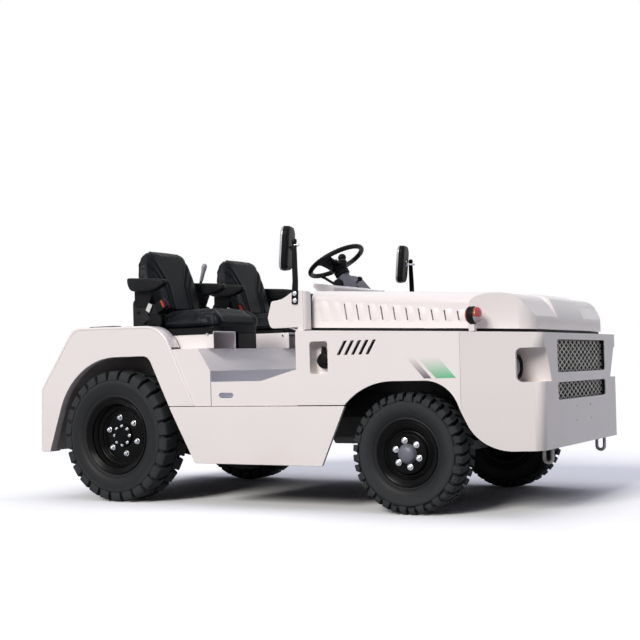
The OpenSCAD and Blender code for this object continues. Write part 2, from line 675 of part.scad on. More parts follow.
// Mirrors on flat stems bolted to the wing plates, the left stem further back
mirror_x = x_cowl - 85;
mirror_y = -half + 90;
mirror_z = 1240;
mirror_t = 40;
module mirror_set(stem_x, turn) {
  side(-half + plate_t - 8, -half + plate_t) rounded([
    [stem_x - 20, mirror_z - 300, 8], [stem_x + 12, mirror_z - 300, 8],
    [stem_x + 14, mirror_z + 22, 8], [stem_x - 10, mirror_z + 22, 8]]);
  box([mirror_x - 10, stem_x + 6], [-half + plate_t - 1, mirror_y], [mirror_z - 8, mirror_z + 8]);
  translate([mirror_x, mirror_y, mirror_z]) rotate([0, 0, turn]) rotate([90, 0, 90])
    translate([0, 0, -mirror_t / 2]) linear_extrude(mirror_t) rounded([
      [-62, -104, 24], [62, -104, 24], [70, 104, 34], [-70, 104, 34]]);
}
module mirrors() color("black") {
  mirror_set(x_cowl - 4, 16);
  mirror([0, 1, 0]) mirror_set(mirror_x + 4, -12);
}

// Turn lamps: drums with a lens to the front and one to the back, each on a post on the cowl ledge
lamp_r = 35;
lamp_x = x_bend + 49;
lamp_y = -half + lamp_r;
lamp_z = 879;
lamp_foot_z = lamp_z - lamp_r - 6;
module lamp_brackets() color("white") pair()
  box([lamp_x - 14, lamp_x + 14], [lamp_y - 13, lamp_y + 13], [cowl_top(lamp_x - 14), lamp_foot_z]);
module turn_lamps() color("red") pair() translate([0, lamp_y, 0]) {
  box([lamp_x - 10, lamp_x + 10], [-9, 9], [lamp_foot_z, lamp_z]);
  translate([0, 0, lamp_z]) {
    rod_x(lamp_x - 15, lamp_x + 15, lamp_r);
    rod_x(lamp_x - 26, lamp_x + 26, lamp_r - 3);
  }
}

// Headlamps in the corner pockets
headlamp_r = 54;
module headlamps() color("silver") pair() translate([0, -half + 173, 649]) {
  rod_x(notch_x, notch_x + 12, headlamp_r - 6);
  rod_x(notch_x + 11, notch_x + 22, headlamp_r);
}

// Tail lamps on the sloped back
module tail_lamps() color("red") pair()
  box([x_tail - 22, x_tail], [-body_in + 30, -body_in + 120], [470, 560]);

// Filler cap in its pocket
module fuel_cap() color("black") translate([(fuel_x[0] + fuel_x[1]) / 2 + 8, 0, fuel_z[0] + 62]) {
  rod_y(-half + 30, -half + 64, 34);
  rod_y(-half + 18, -half + 31, 26);
}

// Front tow loops under the face
loop_r = 27;
loop_z = 242;
loop_t = 18;
loop_x = x_front - shell_t - seat_gap - loop_r;
module tow_loops() color("silver") pair() translate([loop_x, -half + 325, loop_z])
  side(-loop_t / 2, loop_t / 2) difference() {
    rounded([
      [-loop_r, -loop_r, loop_r - 1], [loop_r, -loop_r, loop_r - 1], [loop_r, 118, 0], [-loop_r, 118, 0]]);
    circle(r = 10);
  }

// Front axle beam with an eye at each end for the kingpin
kingpin_r = 17;
eye_h = 70;
module front_axle() color("dimgray") translate([x_fa, 0, front_z]) difference() {
  union() {
    box([-38, 38], [-kingpin_y + 30, kingpin_y - 30], [-32, 32]);
    pair() translate([0, -kingpin_y, -eye_h / 2]) cylinder(r = 40, h = eye_h);
  }
  pair() translate([0, -kingpin_y, -eye_h]) cylinder(r = kingpin_r + run_gap, h = 2 * eye_h);
}

// Knuckles: a fork around the axle's eye, the kingpin and the wheel spindle
spindle_r = 26;
module knuckle() translate([x_fa, -kingpin_y, front_z]) {
  cylinder(r = kingpin_r, h = eye_h + 50, center = true);
  for (z = [-eye_h / 2 - 24, eye_h / 2 + seat_gap]) translate([0, 0, z]) {
    cylinder(r = 36, h = 24 - seat_gap);
    box([-36, 36], [-60, 0], [0, 24 - seat_gap]);
  }
  box([-36, 36], [-66, -46], [-eye_h / 2 - 24, eye_h / 2 + 24]);
  rod_y(-front_y + kingpin_y - front_disc + 6, -60, spindle_r);
  translate([-36, -40, -eye_h / 2 - 24]) rotate([0, 0, 168]) box([0, 150], [-18, 18], [0, 20]);
}
module knuckle_right() color("dimgray") knuckle();
module knuckle_left() color("dimgray") mirror([0, 1, 0]) knuckle();

// Rear axle: housing with the differential and a spindle at each end
module rear_axle() color("dimgray") translate([x_ra, 0, rear_z]) {
  sphere(r = 150);
  rod_y(-rear_y + 130, rear_y - 130, 62);
  rod_y(-rear_y - rear_disc + 6, rear_y + rear_disc - 6, spindle_r);
  rod_x(0, 170, 70);
}

// Leaf springs over both axles
module leaf_springs() color("dimgray") pair() translate([0, -rail_y - rail_w / 2, 0]) {
  box([x_fa - 330, x_fa + 330], [-32, 32], [front_z + 38, front_z + 62]);
  box([x_fa - 40, x_fa + 40], [-36, 36], [front_z + 32, front_z + 39]);
  box([x_fa - 330, x_fa - 300], [-32, 32], [front_z + 61, rail_z[0] + lift]);
  box([x_fa + 300, x_fa + 330], [-32, 32], [front_z + 61, rail_z[0] + lift]);
  box([x_ra - 330, x_ra + 330], [-32, 32], [rear_z + 62, rear_z + 76]);
  box([x_ra - 330, x_ra - 300], [-32, 32], [rear_z + 75, rail_z[0] + lift]);
  box([x_ra + 300, x_ra + 330], [-32, 32], [rear_z + 75, rail_z[0] + lift]);
}

// Wheels: pressed steel rim with hub and nuts, drawn with +Y to the outer side
module rim(w, flange_r, disc_y, nut_pcd, hub_r, cap_h) difference() {
  union() {
    rotate([-90, 0, 0]) rotate_extrude() {
      translate([flange_r - 26, -w / 2 + 8]) square([8, w - 16]);
      for (s = [-1, 1]) translate([0, s * (w / 2 - 12) - 4]) translate([flange_r - 26, 0]) square([26, 8]);
      translate([hub_r - 10, disc_y - 10]) square([flange_r - hub_r - 12, 10]);
      translate([0, disc_y - 90]) square([hub_r, 90 + cap_h]);
    }
    for (i = [0 : nut_count - 1]) rotate([0, i * 360 / nut_count, 0])
      translate([nut_pcd / 2, disc_y - 1, 0]) rotate([-90, 0, 0]) cylinder(r = 15, h = 17, $fn = 6);
  }
  translate([0, disc_y - 100, 0]) rotate([-90, 0, 0]) cylinder(r = spindle_r + run_gap, h = 100);
}

// Tyres: rounded carcass with a row of shoulder lugs on each side
module tyre(r, w, flange_r, lugs, lug_w, lug_h) {
  lug_flat = sqrt(r * r - lug_w * lug_w / 4);
  bead_r = flange_r - 18 + seat_gap;
  bead_y = w / 2 - 26 - seat_gap;
  rotate([-90, 0, 0]) rotate_extrude() rounded([
    [bead_r, -bead_y, 0], [flange_r + 3, -bead_y, 0], [flange_r + 26, -w / 2, 24],
    [r - 60, -w / 2, 40], [r - lug_h, -w / 2 + 14, 22],
    [r - lug_h, w / 2 - 14, 22], [r - 60, w / 2, 40],
    [flange_r + 26, w / 2, 24], [flange_r + 3, bead_y, 0], [bead_r, bead_y, 0]]);
  for (s = [0, 1], i = [0 : lugs - 1]) rotate([0, (i + s / 2) * 360 / lugs + 90, 0]) mirror([0, s, 0])
    translate([r - lug_h - 20, 8, -lug_w / 2]) cube([lug_flat - r + lug_h + 20, w / 2 - 8 - 4, lug_w]);
}

front_rim_r = front_r - 132;
rear_rim_r = rear_r - 149;
front_disc = 60;
rear_disc = 16;
module at_front(s) translate([x_fa, s * front_y, front_z]) mirror([0, s < 0 ? 1 : 0, 0]) children();
module at_rear(s) translate([x_ra, s * rear_y, rear_z]) mirror([0, s < 0 ? 1 : 0, 0]) children();
module front_rim() rim(front_tyre_w - 20, front_rim_r, front_disc, 120, 42, 30);
module rear_rim() rim(rear_tyre_w - 20, rear_rim_r, rear_disc, 190, 56, 20);
module front_tyre() tyre(front_r, front_tyre_w, front_rim_r, front_lugs, lug_front, 16);
module rear_tyre() tyre(rear_r, rear_tyre_w, rear_rim_r, rear_lugs, lug_rear, 18);

module rim_front_right() color("black") at_front(-1) front_rim();
module rim_front_left() color("black") at_front(1) front_rim();
module rim_rear_right() color("black") at_rear(-1) rear_rim();
module rim_rear_left() color("black") at_rear(1) rear_rim();
module tyre_front_right() color("black") at_front(-1) front_tyre();
module tyre_front_left() color("black") at_front(1) front_tyre();
module tyre_rear_right() color("black") at_rear(-1) rear_tyre();
module tyre_rear_left() color("black") at_rear(1) rear_tyre();

raised() frame();
raised() side_skirts();
raised() rear_fenders();
raised() rear_body();
raised() tow_hitch();
raised() hitch_pin();
raised() seat_box();
raised() seat_stands();
raised() step_panels();
raised() floor_pan();
raised() cowl_panels();
raised() front_shell();
raised() grille_mesh();
raised() radiator();
raised() powertrain();
raised() hood();
raised() hood_seal();
raised() wing_plates();
raised() dash();
raised() steering_column();
raised() steering_wheel();
raised() seat_cushions();
raised() seat_backs();
raised() seat_frames();
raised() armrests();
raised() hand_lever();
raised() pedals();
raised() mirrors();
raised() lamp_brackets();
raised() turn_lamps();
raised() headlamps();
raised() tail_lamps();
raised() fuel_cap();
raised() tow_loops();
front_axle();
knuckle_right();
knuckle_left();
rear_axle();
leaf_springs();
rim_front_right();
rim_front_left();
rim_rear_right();
rim_rear_left();
tyre_front_right();
tyre_front_left();
tyre_rear_right();
tyre_rear_left();
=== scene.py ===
"""Looks of an airport tow tractor, laid out as an add-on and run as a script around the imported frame."""

import math

import bmesh
import bpy
from bpy.props import FloatProperty, FloatVectorProperty, IntProperty, PointerProperty
from mathutils import Matrix, Vector
from mathutils.bvhtree import BVHTree


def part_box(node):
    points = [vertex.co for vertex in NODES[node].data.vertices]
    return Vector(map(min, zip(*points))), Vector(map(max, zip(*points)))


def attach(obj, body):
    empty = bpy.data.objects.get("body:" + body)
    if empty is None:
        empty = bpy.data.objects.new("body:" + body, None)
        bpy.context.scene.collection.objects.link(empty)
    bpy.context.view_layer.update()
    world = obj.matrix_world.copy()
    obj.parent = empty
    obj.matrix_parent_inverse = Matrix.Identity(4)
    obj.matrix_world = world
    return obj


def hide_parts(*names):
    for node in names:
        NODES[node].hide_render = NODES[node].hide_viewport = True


bl_info = {
    "name": "Airport tow tractor",
    "version": (1, 0, 0),
    "blender": (4, 5, 0),
    "location": "3D View > Sidebar > Tractor",
    "description": "Dresses the packed tow tractor in its finishes, seats, wheels and fittings",
    "category": "Object",
}

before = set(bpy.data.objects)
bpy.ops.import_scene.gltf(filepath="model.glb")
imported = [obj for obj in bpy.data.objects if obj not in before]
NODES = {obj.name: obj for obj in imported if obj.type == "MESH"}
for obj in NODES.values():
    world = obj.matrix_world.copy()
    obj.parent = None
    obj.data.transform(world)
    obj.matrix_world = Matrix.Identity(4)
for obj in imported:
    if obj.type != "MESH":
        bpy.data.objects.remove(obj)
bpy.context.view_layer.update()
MM = 0.001
SIDES = (("right", -1), ("left", 1))
X, Y, Z = Vector((1, 0, 0)), Vector((0, 1, 0)), Vector((0, 0, 1))
# radius in mm that turned forms close to on their axis
TIP = 0.05
# wheel centres in mm: forward, out to the side, up
FRONT_WHEEL = (830, 608.5, 273.27)
REAR_WHEEL = (-820, 609, 338.58)
# middle of each seat across the tractor, and the lean of the backs from their foot
SEATS = (-360, 360)
BACK_LEAN = math.radians(16)
BACK_FOOT = Vector((-618, 0, 953))
BACK_UP = Vector((-math.sin(BACK_LEAN), 0, math.cos(BACK_LEAN)))
BACK_OUT = Vector((math.cos(BACK_LEAN), 0, math.sin(BACK_LEAN)))


def linear(code):
    """Linear RGBA of an sRGB hex colour."""
    channels = [int(code[i:i + 2], 16) / 255 for i in (0, 2, 4)]
    return [c / 12.92 if c <= 0.04045 else ((c + 0.055) / 1.055) ** 2.4 for c in channels] + [1.0]


def colour(code, name, description):
    """A colour setting with the sRGB hex colour as its default."""
    return FloatVectorProperty(name=name, description=description, size=4, min=0, max=1,
                               subtype="COLOR", default=linear(code))


def length(mm, name, description):
    """A length setting, given in millimetres."""
    return FloatProperty(name=name, description=description, default=mm * MM, min=0, unit="LENGTH")


class TractorColours(bpy.types.PropertyGroup):
    """Colours that a user would change."""
    body: colour("EFE8E6", "Body", "Enamel of the body panels")
    stripe_grey: colour("5A565C", "Grey stripe", "Strong end of the grey stripe")
    stripe_green: colour("58B884", "Green stripe", "Strong end of the green stripe")
    seat: colour("0B0E13", "Seats", "Vinyl of the seats")
    hub_cap: colour("666973", "Hub caps", "Paint of the front hub caps")
    lens: colour("C8301C", "Turn lamps", "Tinted part of the turn lamp lenses")


class TractorSizes(bpy.types.PropertyGroup):
    """Sizes that a user would change."""
    edge: length(2.5, "Panel edge", "Rounding of the sheet and plate edges")
    puff: length(14, "Padding", "How far the seat padding may swell")
    voxel: length(6.6, "Seat voxel", "Voxel size of the seats before their cloth simulation")
    nut: length(12, "Wheel nut", "Corner radius of the wheel nuts")
    stitch: length(9, "Stitch", "Length from one stitch to the next on the seats")
    louvre: length(4.5, "Louvre", "How far the pressed louvres stand out of the hood")
    rounds: IntProperty(name="Round steps", description="Sides of the turned pieces", default=96, min=24)


def add(tree, kind, inputs=None, stops=(), **settings):
    """Adds one shader node with its settings, values and links, and the colour stops of a ramp."""
    node = tree.nodes.new(kind)
    for key, value in settings.items():
        setattr(node, key, value)
    for key, value in (inputs or {}).items():
        if isinstance(value, bpy.types.NodeSocket):
            tree.links.new(value, node.inputs[key])
        else:
            node.inputs[key].default_value = value
    for i, (position, value) in enumerate(stops):
        element = node.color_ramp.elements[i] if i < 2 else node.color_ramp.elements.new(position)
        element.position = position
        element.color = value
    return node


def noise(tree, place, mm, detail=2.0):
    """Soft noise of the given grain size."""
    return add(tree, "ShaderNodeTexNoise", {"Vector": place, "Scale": 1 / (mm * MM),
                                            "Detail": detail}).outputs[0]


def waves(tree, place, mm, direction):
    """Straight waves across one direction."""
    return add(tree, "ShaderNodeTexWave", {"Vector": place, "Scale": 1 / (mm * MM)},
               bands_direction=direction).outputs[1]


def relief(tree, height, strength, deep):
    """Bump from a height, as deep as given in mm."""
    return add(tree, "ShaderNodeBump", {"Height": height, "Strength": strength,
                                        "Distance": deep * MM}).outputs["Normal"]


def between(tree, value, low, high, start=0.0, end=1.0):
    """A value that goes from low to high while the given one goes from start to end."""
    return add(tree, "ShaderNodeMapRange", {"Value": value, "From Min": start, "From Max": end,
                                            "To Min": low, "To Max": high}).outputs[0]


def arith(tree, operation, *values):
    """Result of a sum on two or three values."""
    return add(tree, "ShaderNodeMath", dict(enumerate(values)), operation=operation).outputs[0]


def ramp(tree, value, *stops):
    """Colour that follows a value through the stops."""
    return add(tree, "ShaderNodeValToRGB", {"Fac": value}, stops=stops).outputs["Color"]


def mixed(tree, share, first, second):
    """Colour between two others."""
    return add(tree, "ShaderNodeMix", {0: share, 6: first, 7: second}, data_type="RGBA").outputs[2]


def part_of(tree, vector, axis):
    """One part of a vector."""
    return add(tree, "ShaderNodeSeparateXYZ", {"Vector": vector}).outputs[axis]


def seen_by_eye(tree):
    """One for the camera's rays and those that reach it by reflection or through glass, else nought."""
    path = add(tree, "ShaderNodeLightPath")
    direct = arith(tree, "MAXIMUM", path.outputs["Is Camera Ray"], path.outputs["Is Glossy Ray"])
    return arith(tree, "MAXIMUM", direct, path.outputs["Is Transmission Ray"])


def finish_named(name):
    """A new material, its node tree, its shader and the place on the object."""
    material = bpy.data.materials.new(name)
    material.use_nodes = True
    tree = material.node_tree
    return material, tree, tree.nodes["Principled BSDF"], add(tree, "ShaderNodeTexCoord").outputs["Object"]


def shade(tree, shader, **inputs):
    """Sets or links the shader's inputs, with spaces written as underscores."""
    for key, value in inputs.items():
        socket = shader.inputs[key.replace("_", " ")]
        if isinstance(value, bpy.types.NodeSocket):
            tree.links.new(value, socket)
        else:
            socket.default_value = value


def surfaced(name, base, worn, patch_mm, grain_mm, grain_deep, rough, spread, **shader_inputs):
    """A material of two tones in soft patches, with a fine grain in relief and an uneven gloss."""
    _, tree, shader, place = finish_named(name)
    base, worn = (linear(tone) if isinstance(tone, str) else list(tone) for tone in (base, worn))
    patch = noise(tree, place, patch_mm, 4.0)
    shade(tree, shader, Base_Color=ramp(tree, patch, (0.35, base), (0.75, worn)),
          Roughness=between(tree, patch, rough - spread, rough + spread, 0.3, 0.7),
          Normal=relief(tree, noise(tree, place, grain_mm), 0.5, grain_deep), **shader_inputs)
    return tree, shader


def outline(corners, steps=6):
    """Points of a closed outline given as (a, b, corner radius)."""
    points = []
    for i, (a, b, radius) in enumerate(corners):
        here = Vector((a, b))
        if radius <= 0:
            points.append(here)
            continue
        back = (Vector(corners[i - 1][:2]) - here).normalized()
        on = (Vector(corners[(i + 1) % len(corners)][:2]) - here).normalized()
        half = back.angle(on) / 2
        centre = here + (back + on).normalized() * (radius / math.sin(half))
        first = here + back * (radius / math.tan(half)) - centre
        last = here + on * (radius / math.tan(half)) - centre
        start = math.atan2(first.y, first.x)
        sweep = (math.atan2(last.y, last.x) - start + math.pi) % math.tau - math.pi
        angles = [start + sweep * k / steps for k in range(steps + 1)]
        points += [centre + radius * Vector((math.cos(t), math.sin(t))) for t in angles]
    return points


def rounded(a0, b0, a1, b1, radius, steps=6):
    """Points of a rectangle with rounded corners."""
    return outline([(a0, b0, radius), (a1, b0, radius), (a1, b1, radius), (a0, b1, radius)], steps)


def bridge(bm, rings, closed=False):
    """Faces between rings of points in mm, with flat ends, or back to the first ring when closed."""
    rings = [[bm.verts.new(Vector(p) * MM) for p in ring] for ring in rings]
    count = len(rings[0])
    pairs = list(zip(rings, rings[1:])) + ([(rings[-1], rings[0])] if closed else [])
    for a, b in pairs:
        for i in range(count):
            j = (i + 1) % count
            bm.faces.new((a[i], a[j], b[j], b[i]))
    if not closed:
        bm.faces.new(rings[0][::-1])
        bm.faces.new(rings[-1])


def turns(count):
    """Angles of so many even steps round a circle."""
    return [k * math.tau / count for k in range(count)]


def circle(centre, u, v, radius, count):
    """Points of a circle in the plane of u and v."""
    return [centre + radius * (math.cos(t) * u + math.sin(t) * v) for t in turns(count)]


def square_to(axis):
    """Two directions square to the axis and to each other."""
    axis = axis.normalized()
    u = (Z if abs(axis.z) < 0.9 else X)
    u = (u - u.dot(axis) * axis).normalized()
    return u, axis.cross(u)


def lathe(bm, profile, centre, axis, count, closed=False):
    """Turns a profile of (along, radius) about the axis; small radii at the ends close it."""
    u, v = square_to(axis)
    axis = axis.normalized()
    bridge(bm, [circle(Vector(centre) + axis * along, u, v, max(radius, TIP), count)
                for along, radius in profile], closed=closed)


def tube(bm, points, radii, count=14, closed=False, up=None):
    """A round bar along the points."""
    points = [Vector(p) for p in points]
    radii = [radii] * len(points) if isinstance(radii, (int, float)) else radii
    rings = []
    u = up
    for i, point in enumerate(points):
        before = points[i - 1] if i or closed else point
        after = points[(i + 1) % len(points)] if i + 1 < len(points) or closed else point
        along = (after - before).normalized()
        u = square_to(along)[0] if u is None else (u - u.dot(along) * along).normalized()
        rings.append(circle(point, u, along.cross(u), radii[i], count))
    bridge(bm, rings, closed=closed)


def slab(bm, points, origin, u, v, depth):
    """A plate: outline points along u and v from the origin, as deep as given along u x v."""
    face = [Vector(origin) + u * a + v * b for a, b in points]
    away = u.cross(v).normalized() * depth
    bridge(bm, [face, [p + away for p in face]])


def smooth_line(points, steps=8):
    """A curve through the points."""
    points = [Vector(p) for p in points]
    line = []
    for i in range(len(points) - 1):
        a, b = points[max(i - 1, 0)], points[i]
        c, d = points[i + 1], points[min(i + 2, len(points) - 1)]
        for k in range(steps):
            t = k / steps
            line.append(0.5 * (2 * b + (c - a) * t + (2 * a - 5 * b + 4 * c - d) * t * t
                               + (3 * b - a - 3 * c + d) * t ** 3))
    return line + [points[-1]]


def skin_of(mesh, place=Matrix()):
    """Search tree of a mesh's surface, in metres."""
    return BVHTree.FromPolygons([place @ v.co for v in mesh.vertices],
                                [tuple(p.vertices) for p in mesh.polygons])


def surface(name):
    """Search tree of a CAD node's surface, in metres."""
    return skin_of(NODES[name].data, NODES[name].matrix_world)


def hit(tree, origin, direction):
    """Where a line from the origin meets the surface: the point in mm and the normal towards the origin."""
    point, normal, _, _ = tree.ray_cast(Vector(origin) * MM, direction)
    if point is None:
        raise RuntimeError(f"no surface seen from {tuple(origin)}")
    return point / MM, normal if normal.dot(direction) < 0 else -normal


def bevelled(obj, width, degrees):
    """Rounds the edges of an object that turn more sharply than the angle."""
    bevel = obj.modifiers.new("edge", "BEVEL")
    bevel.width = width
    bevel.segments = 2
    bevel.limit_method = "ANGLE"
    bevel.angle_limit = math.radians(degrees)
    return bevel


def piece(name, bm, finish, body="chassis", edge=0.0, rounds=0, sharp=35, stands_for=()):
    """Makes an object of the mesh with its finish, edge rounding and subdivision, riding on a body."""
    bmesh.ops.recalc_face_normals(bm, faces=bm.faces)
    for face in bm.faces:
        face.smooth = True
    mesh = bpy.data.meshes.new(name)
    bm.to_mesh(mesh)
    bm.free()
    mesh.set_sharp_from_angle(angle=math.radians(sharp))
    mesh.materials.append(bpy.data.materials[finish])
    obj = bpy.data.objects.new(name, mesh)
    bpy.context.scene.collection.objects.link(obj)
    if edge:
        bevelled(obj, edge * MM, sharp)
    if rounds:
        obj.modifiers.new("rounds", "SUBSURF").levels = rounds
        obj.modifiers["rounds"].render_levels = rounds
    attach(obj, body)
    if stands_for:
        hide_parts(*stands_for)
    return obj


class TRACTOR_OT_finishes(bpy.types.Operator):
    """Makes the materials and gives one to each CAD node, with rounded edges on sheet and plate"""
    bl_idname = "tractor.finishes"
    bl_label = "Finishes"

    def execute(self, context):
        colours = context.scene.tractor_colours
        # enamel sprayed on sheet steel: glossy, with faint orange peel and a film of dust low down
        _, tree, shader, place = finish_named("sprayed_enamel")
        patch = noise(tree, place, 260, 5.0)
        low_down = between(tree, part_of(tree, place, "Z"), 0.0, 0.22, 0.62, 0.22)
        dust = arith(tree, "MULTIPLY", low_down, patch)
        shade(tree, shader, Base_Color=mixed(tree, dust, list(colours.body), linear("A89C90")),
              Roughness=between(tree, patch, 0.24, 0.40), Coat_Weight=0.25, Coat_Roughness=0.12,
              Normal=relief(tree, noise(tree, place, 4, 1.0), 0.25, 0.05))

        # powder coat baked on thick plate: satin black with a fine pebble, dusty in patches
        surfaced("powder_coat", "0D0E10", "181716", 140, 1.2, 0.06, 0.42, 0.08, Specular_IOR_Level=0.2)
        # gloss black stove enamel on pressed wheels, filmed with brake dust
        surfaced("stove_enamel", "08090A", "111111", 90, 2.0, 0.03, 0.26, 0.08, Specular_IOR_Level=0.06)
        # galvanised wire of the grille: pale grey, dulled
        surfaced("galvanised_wire", "D2D0C8", "A8A69E", 30, 2.0, 0.05, 0.4, 0.1, Metallic=0.3)
        # zinc plating on steel: bright, slightly cloudy
        surfaced("zinc_plate", "C9CBCE", "A9ABAF", 30, 1.0, 0.02, 0.28, 0.08, Metallic=1.0)
        # hot forged steel bar, zinc rich paint: dull grey
        surfaced("forged_steel", "C4BEBC", "A29C9A", 40, 1.6, 0.12, 0.5, 0.1, Metallic=0.2)
        # injection moulded black plastic with a spark eroded grain
        surfaced("moulded_plastic", "0B0C0E", "131416", 80, 0.9, 0.05, 0.46, 0.06, Specular_IOR_Level=0.1)
        # moulded grey plastic of the column cover
        surfaced("grey_plastic", "4A4A56", "555560", 80, 0.9, 0.05, 0.5, 0.06)
        # light grey moulded grip of the hitch lever
        surfaced("grip_plastic", "9A9AA0", "86868C", 30, 1.2, 0.05, 0.4, 0.06)
        # cast iron of the engine block under black heat paint, with sand casting texture
        surfaced("cast_iron", "2A2B2D", "3A3836", 50, 2.2, 0.5, 0.62, 0.1, Metallic=0.2)
        # extruded rubber seal: dull black; on the hood's seal and gasket the black also stands as painted
        # shade in the gap under the hood's edge
        surfaced("seal_rubber", "141415", "181818", 40, 1.0, 0.04, 0.66, 0.06, Specular_IOR_Level=0.2)
        # moulded polyurethane skin of the armrests: satin, pebbled
        surfaced("urethane_skin", "131416", "1B1C1E", 50, 1.6, 0.14, 0.45, 0.06, Specular_IOR_Level=0.12)
        # vapour coated aluminium reflector: as bright as a mirror
        surfaced("reflector_coat", "E6E7EA", "D2D4D8", 20, 5.0, 0.02, 0.08, 0.03, Metallic=1.0)
        # rolled stainless bezel: soft shine
        surfaced("bezel_metal", "B4B4B8", "98989C", 30, 2.0, 0.02, 0.35, 0.06, Metallic=0.8)
        # silvered mirror glass: a sharp reflection
        surfaced("mirror_glass", "E8ECEE", "DDE2E6", 120, 20, 0.01, 0.03, 0.01, Metallic=1.0)
        # hub cap paint: flat mid grey over a pressing
        surfaced("cap_paint", colours.hub_cap, "565962", 25, 2.5, 0.04, 0.42, 0.06)
        # belt webbing and sewing thread, woven fine: dull
        surfaced("belt_web", "1B1C1F", "222326", 20, 1.2, 0.2, 0.7, 0.05, Specular_IOR_Level=0.2)
        # coated cloth label: smooth and off-white
        surfaced("label_white", "D8D8D6", "C6C6C4", 20, 3.0, 0.02, 0.5, 0.05)
        # moulded push button: glossy
        surfaced("button_red", "D02A1E", "B82218", 15, 3.0, 0.02, 0.3, 0.05)

        # grey floor enamel with scuffs; its grey base is darkened as painted shade on the upright faces, and
        # faces that look upward are mixed towards a pale blue grey as painted light
        tree, shader = surfaced("floor_enamel_painted_light", "62666F", "585B64", 160, 2.5, 0.05, 0.5, 0.1)
        # painted light: the more a face looks upward, the paler it is drawn
        upward = part_of(tree, add(tree, "ShaderNodeNewGeometry").outputs["Normal"], "Z")
        level = between(tree, upward, 0.0, 1.0, 0.6, 0.9)
        enamel = shader.inputs["Base Color"].links[0].from_socket
        shade(tree, shader, Base_Color=mixed(tree, level, enamel, linear("D2D8E6")))

        # tyre rubber cured in a steel mould: black and satin on the sidewalls, greyed by dust on the lugs
        for name, (x, _, z), start, end in (("front", FRONT_WHEEL, 200, 232), ("rear", REAR_WHEEL, 280, 304)):
            _, tree, shader, place = finish_named(f"tyre_rubber_{name}")
            spot = add(tree, "ShaderNodeVectorMath", {0: place, 1: (1, 0, 1)}, operation="MULTIPLY")
            out = add(tree, "ShaderNodeVectorMath", {0: spot.outputs[0], 1: (x * MM, 0, z * MM)},
                      operation="DISTANCE")
            ragged = arith(tree, "MULTIPLY_ADD", noise(tree, place, 40, 4.0), 0.03, out.outputs["Value"])
            dusty = between(tree, ragged, 0.0, 1.0, start * MM, end * MM)
            tone = ramp(tree, dusty, (0.0, linear("17181A")), (1.0, linear("303234")))
            shade(tree, shader, Base_Color=tone, Roughness=between(tree, dusty, 0.52, 0.78),
                  Normal=relief(tree, noise(tree, place, 1.5), 0.4, 0.1), Specular_IOR_Level=0.2)

        # vinyl over foam: pressed leather grain, drawn at twice its size so that it shows, with satin shine
        _, tree, shader, place = finish_named("grained_vinyl")
        cells = add(tree, "ShaderNodeTexVoronoi", {"Vector": place, "Scale": 1 / (4 * MM)},
                    feature="DISTANCE_TO_EDGE")
        crease = between(tree, cells.outputs["Distance"], 0.0, 1.0, 0.0, 0.12)
        patch = noise(tree, place, 90, 3.0)
        shade(tree, shader, Base_Color=ramp(tree, patch, (0.3, list(colours.seat)), (0.8, linear("14171E"))),
              Roughness=between(tree, patch, 0.34, 0.5), Normal=relief(tree, crease, 0.35, 0.25),
              Specular_IOR_Level=0.12)

        # printed film: strong at the foot, faded into the body colour at the top
        for name, strong in (("film_grey", colours.stripe_grey), ("film_green", colours.stripe_green)):
            _, tree, shader, place = finish_named(name)
            level = between(tree, part_of(tree, place, "Z"), 0.0, 1.0, 0.608, 0.706)
            dots = arith(tree, "MULTIPLY_ADD", noise(tree, place, 3), 0.06, level)
            ink = ramp(tree, dots, (0.02, list(strong)), (1.0, list(colours.body)))
            shade(tree, shader, Base_Color=ink, Roughness=0.34, Coat_Weight=0.2)

        # moulded acrylic lenses: tinted right through, with flutes that break up the light
        for name, tint, clear in (("acrylic_red", list(colours.lens), 0.25),
                                  ("acrylic_clear", linear("E4E6EA"), 0.55)):
            _, tree, shader, place = finish_named(name)
            flutes = waves(tree, place, 14, "Z")
            dim = [c * 0.8 for c in tint[:3]] + [1]
            shade(tree, shader, Base_Color=ramp(tree, flutes, (0.0, dim), (1.0, tint)), Roughness=0.12,
                  IOR=1.49, Transmission_Weight=clear, Normal=relief(tree, flutes, 0.4, 0.8), Coat_Weight=0.5)
        # pressed lamp glass: clear, with moulded flutes
        _, tree, shader, place = finish_named("lamp_glass")
        shade(tree, shader, Base_Color=linear("C4C8D0"), Roughness=0.08, IOR=1.52, Transmission_Weight=0.35,
              Normal=relief(tree, waves(tree, place, 18, "Y"), 0.5, 1.2))
        # radiator core: black painted fins, drawn coarser than the real fin pitch, with painted shade: the
        # gaps between the fins are drawn darker than the fin edges, and the black is deepened to stand for
        # the shade behind the grille
        _, tree, shader, place = finish_named("radiator_core_painted_shade")
        fins = waves(tree, place, 24, "Y")
        shade(tree, shader, Base_Color=ramp(tree, fins, (0.2, linear("050506")), (0.9, linear("121315"))),
              Roughness=0.6, Normal=relief(tree, fins, 0.8, 2))

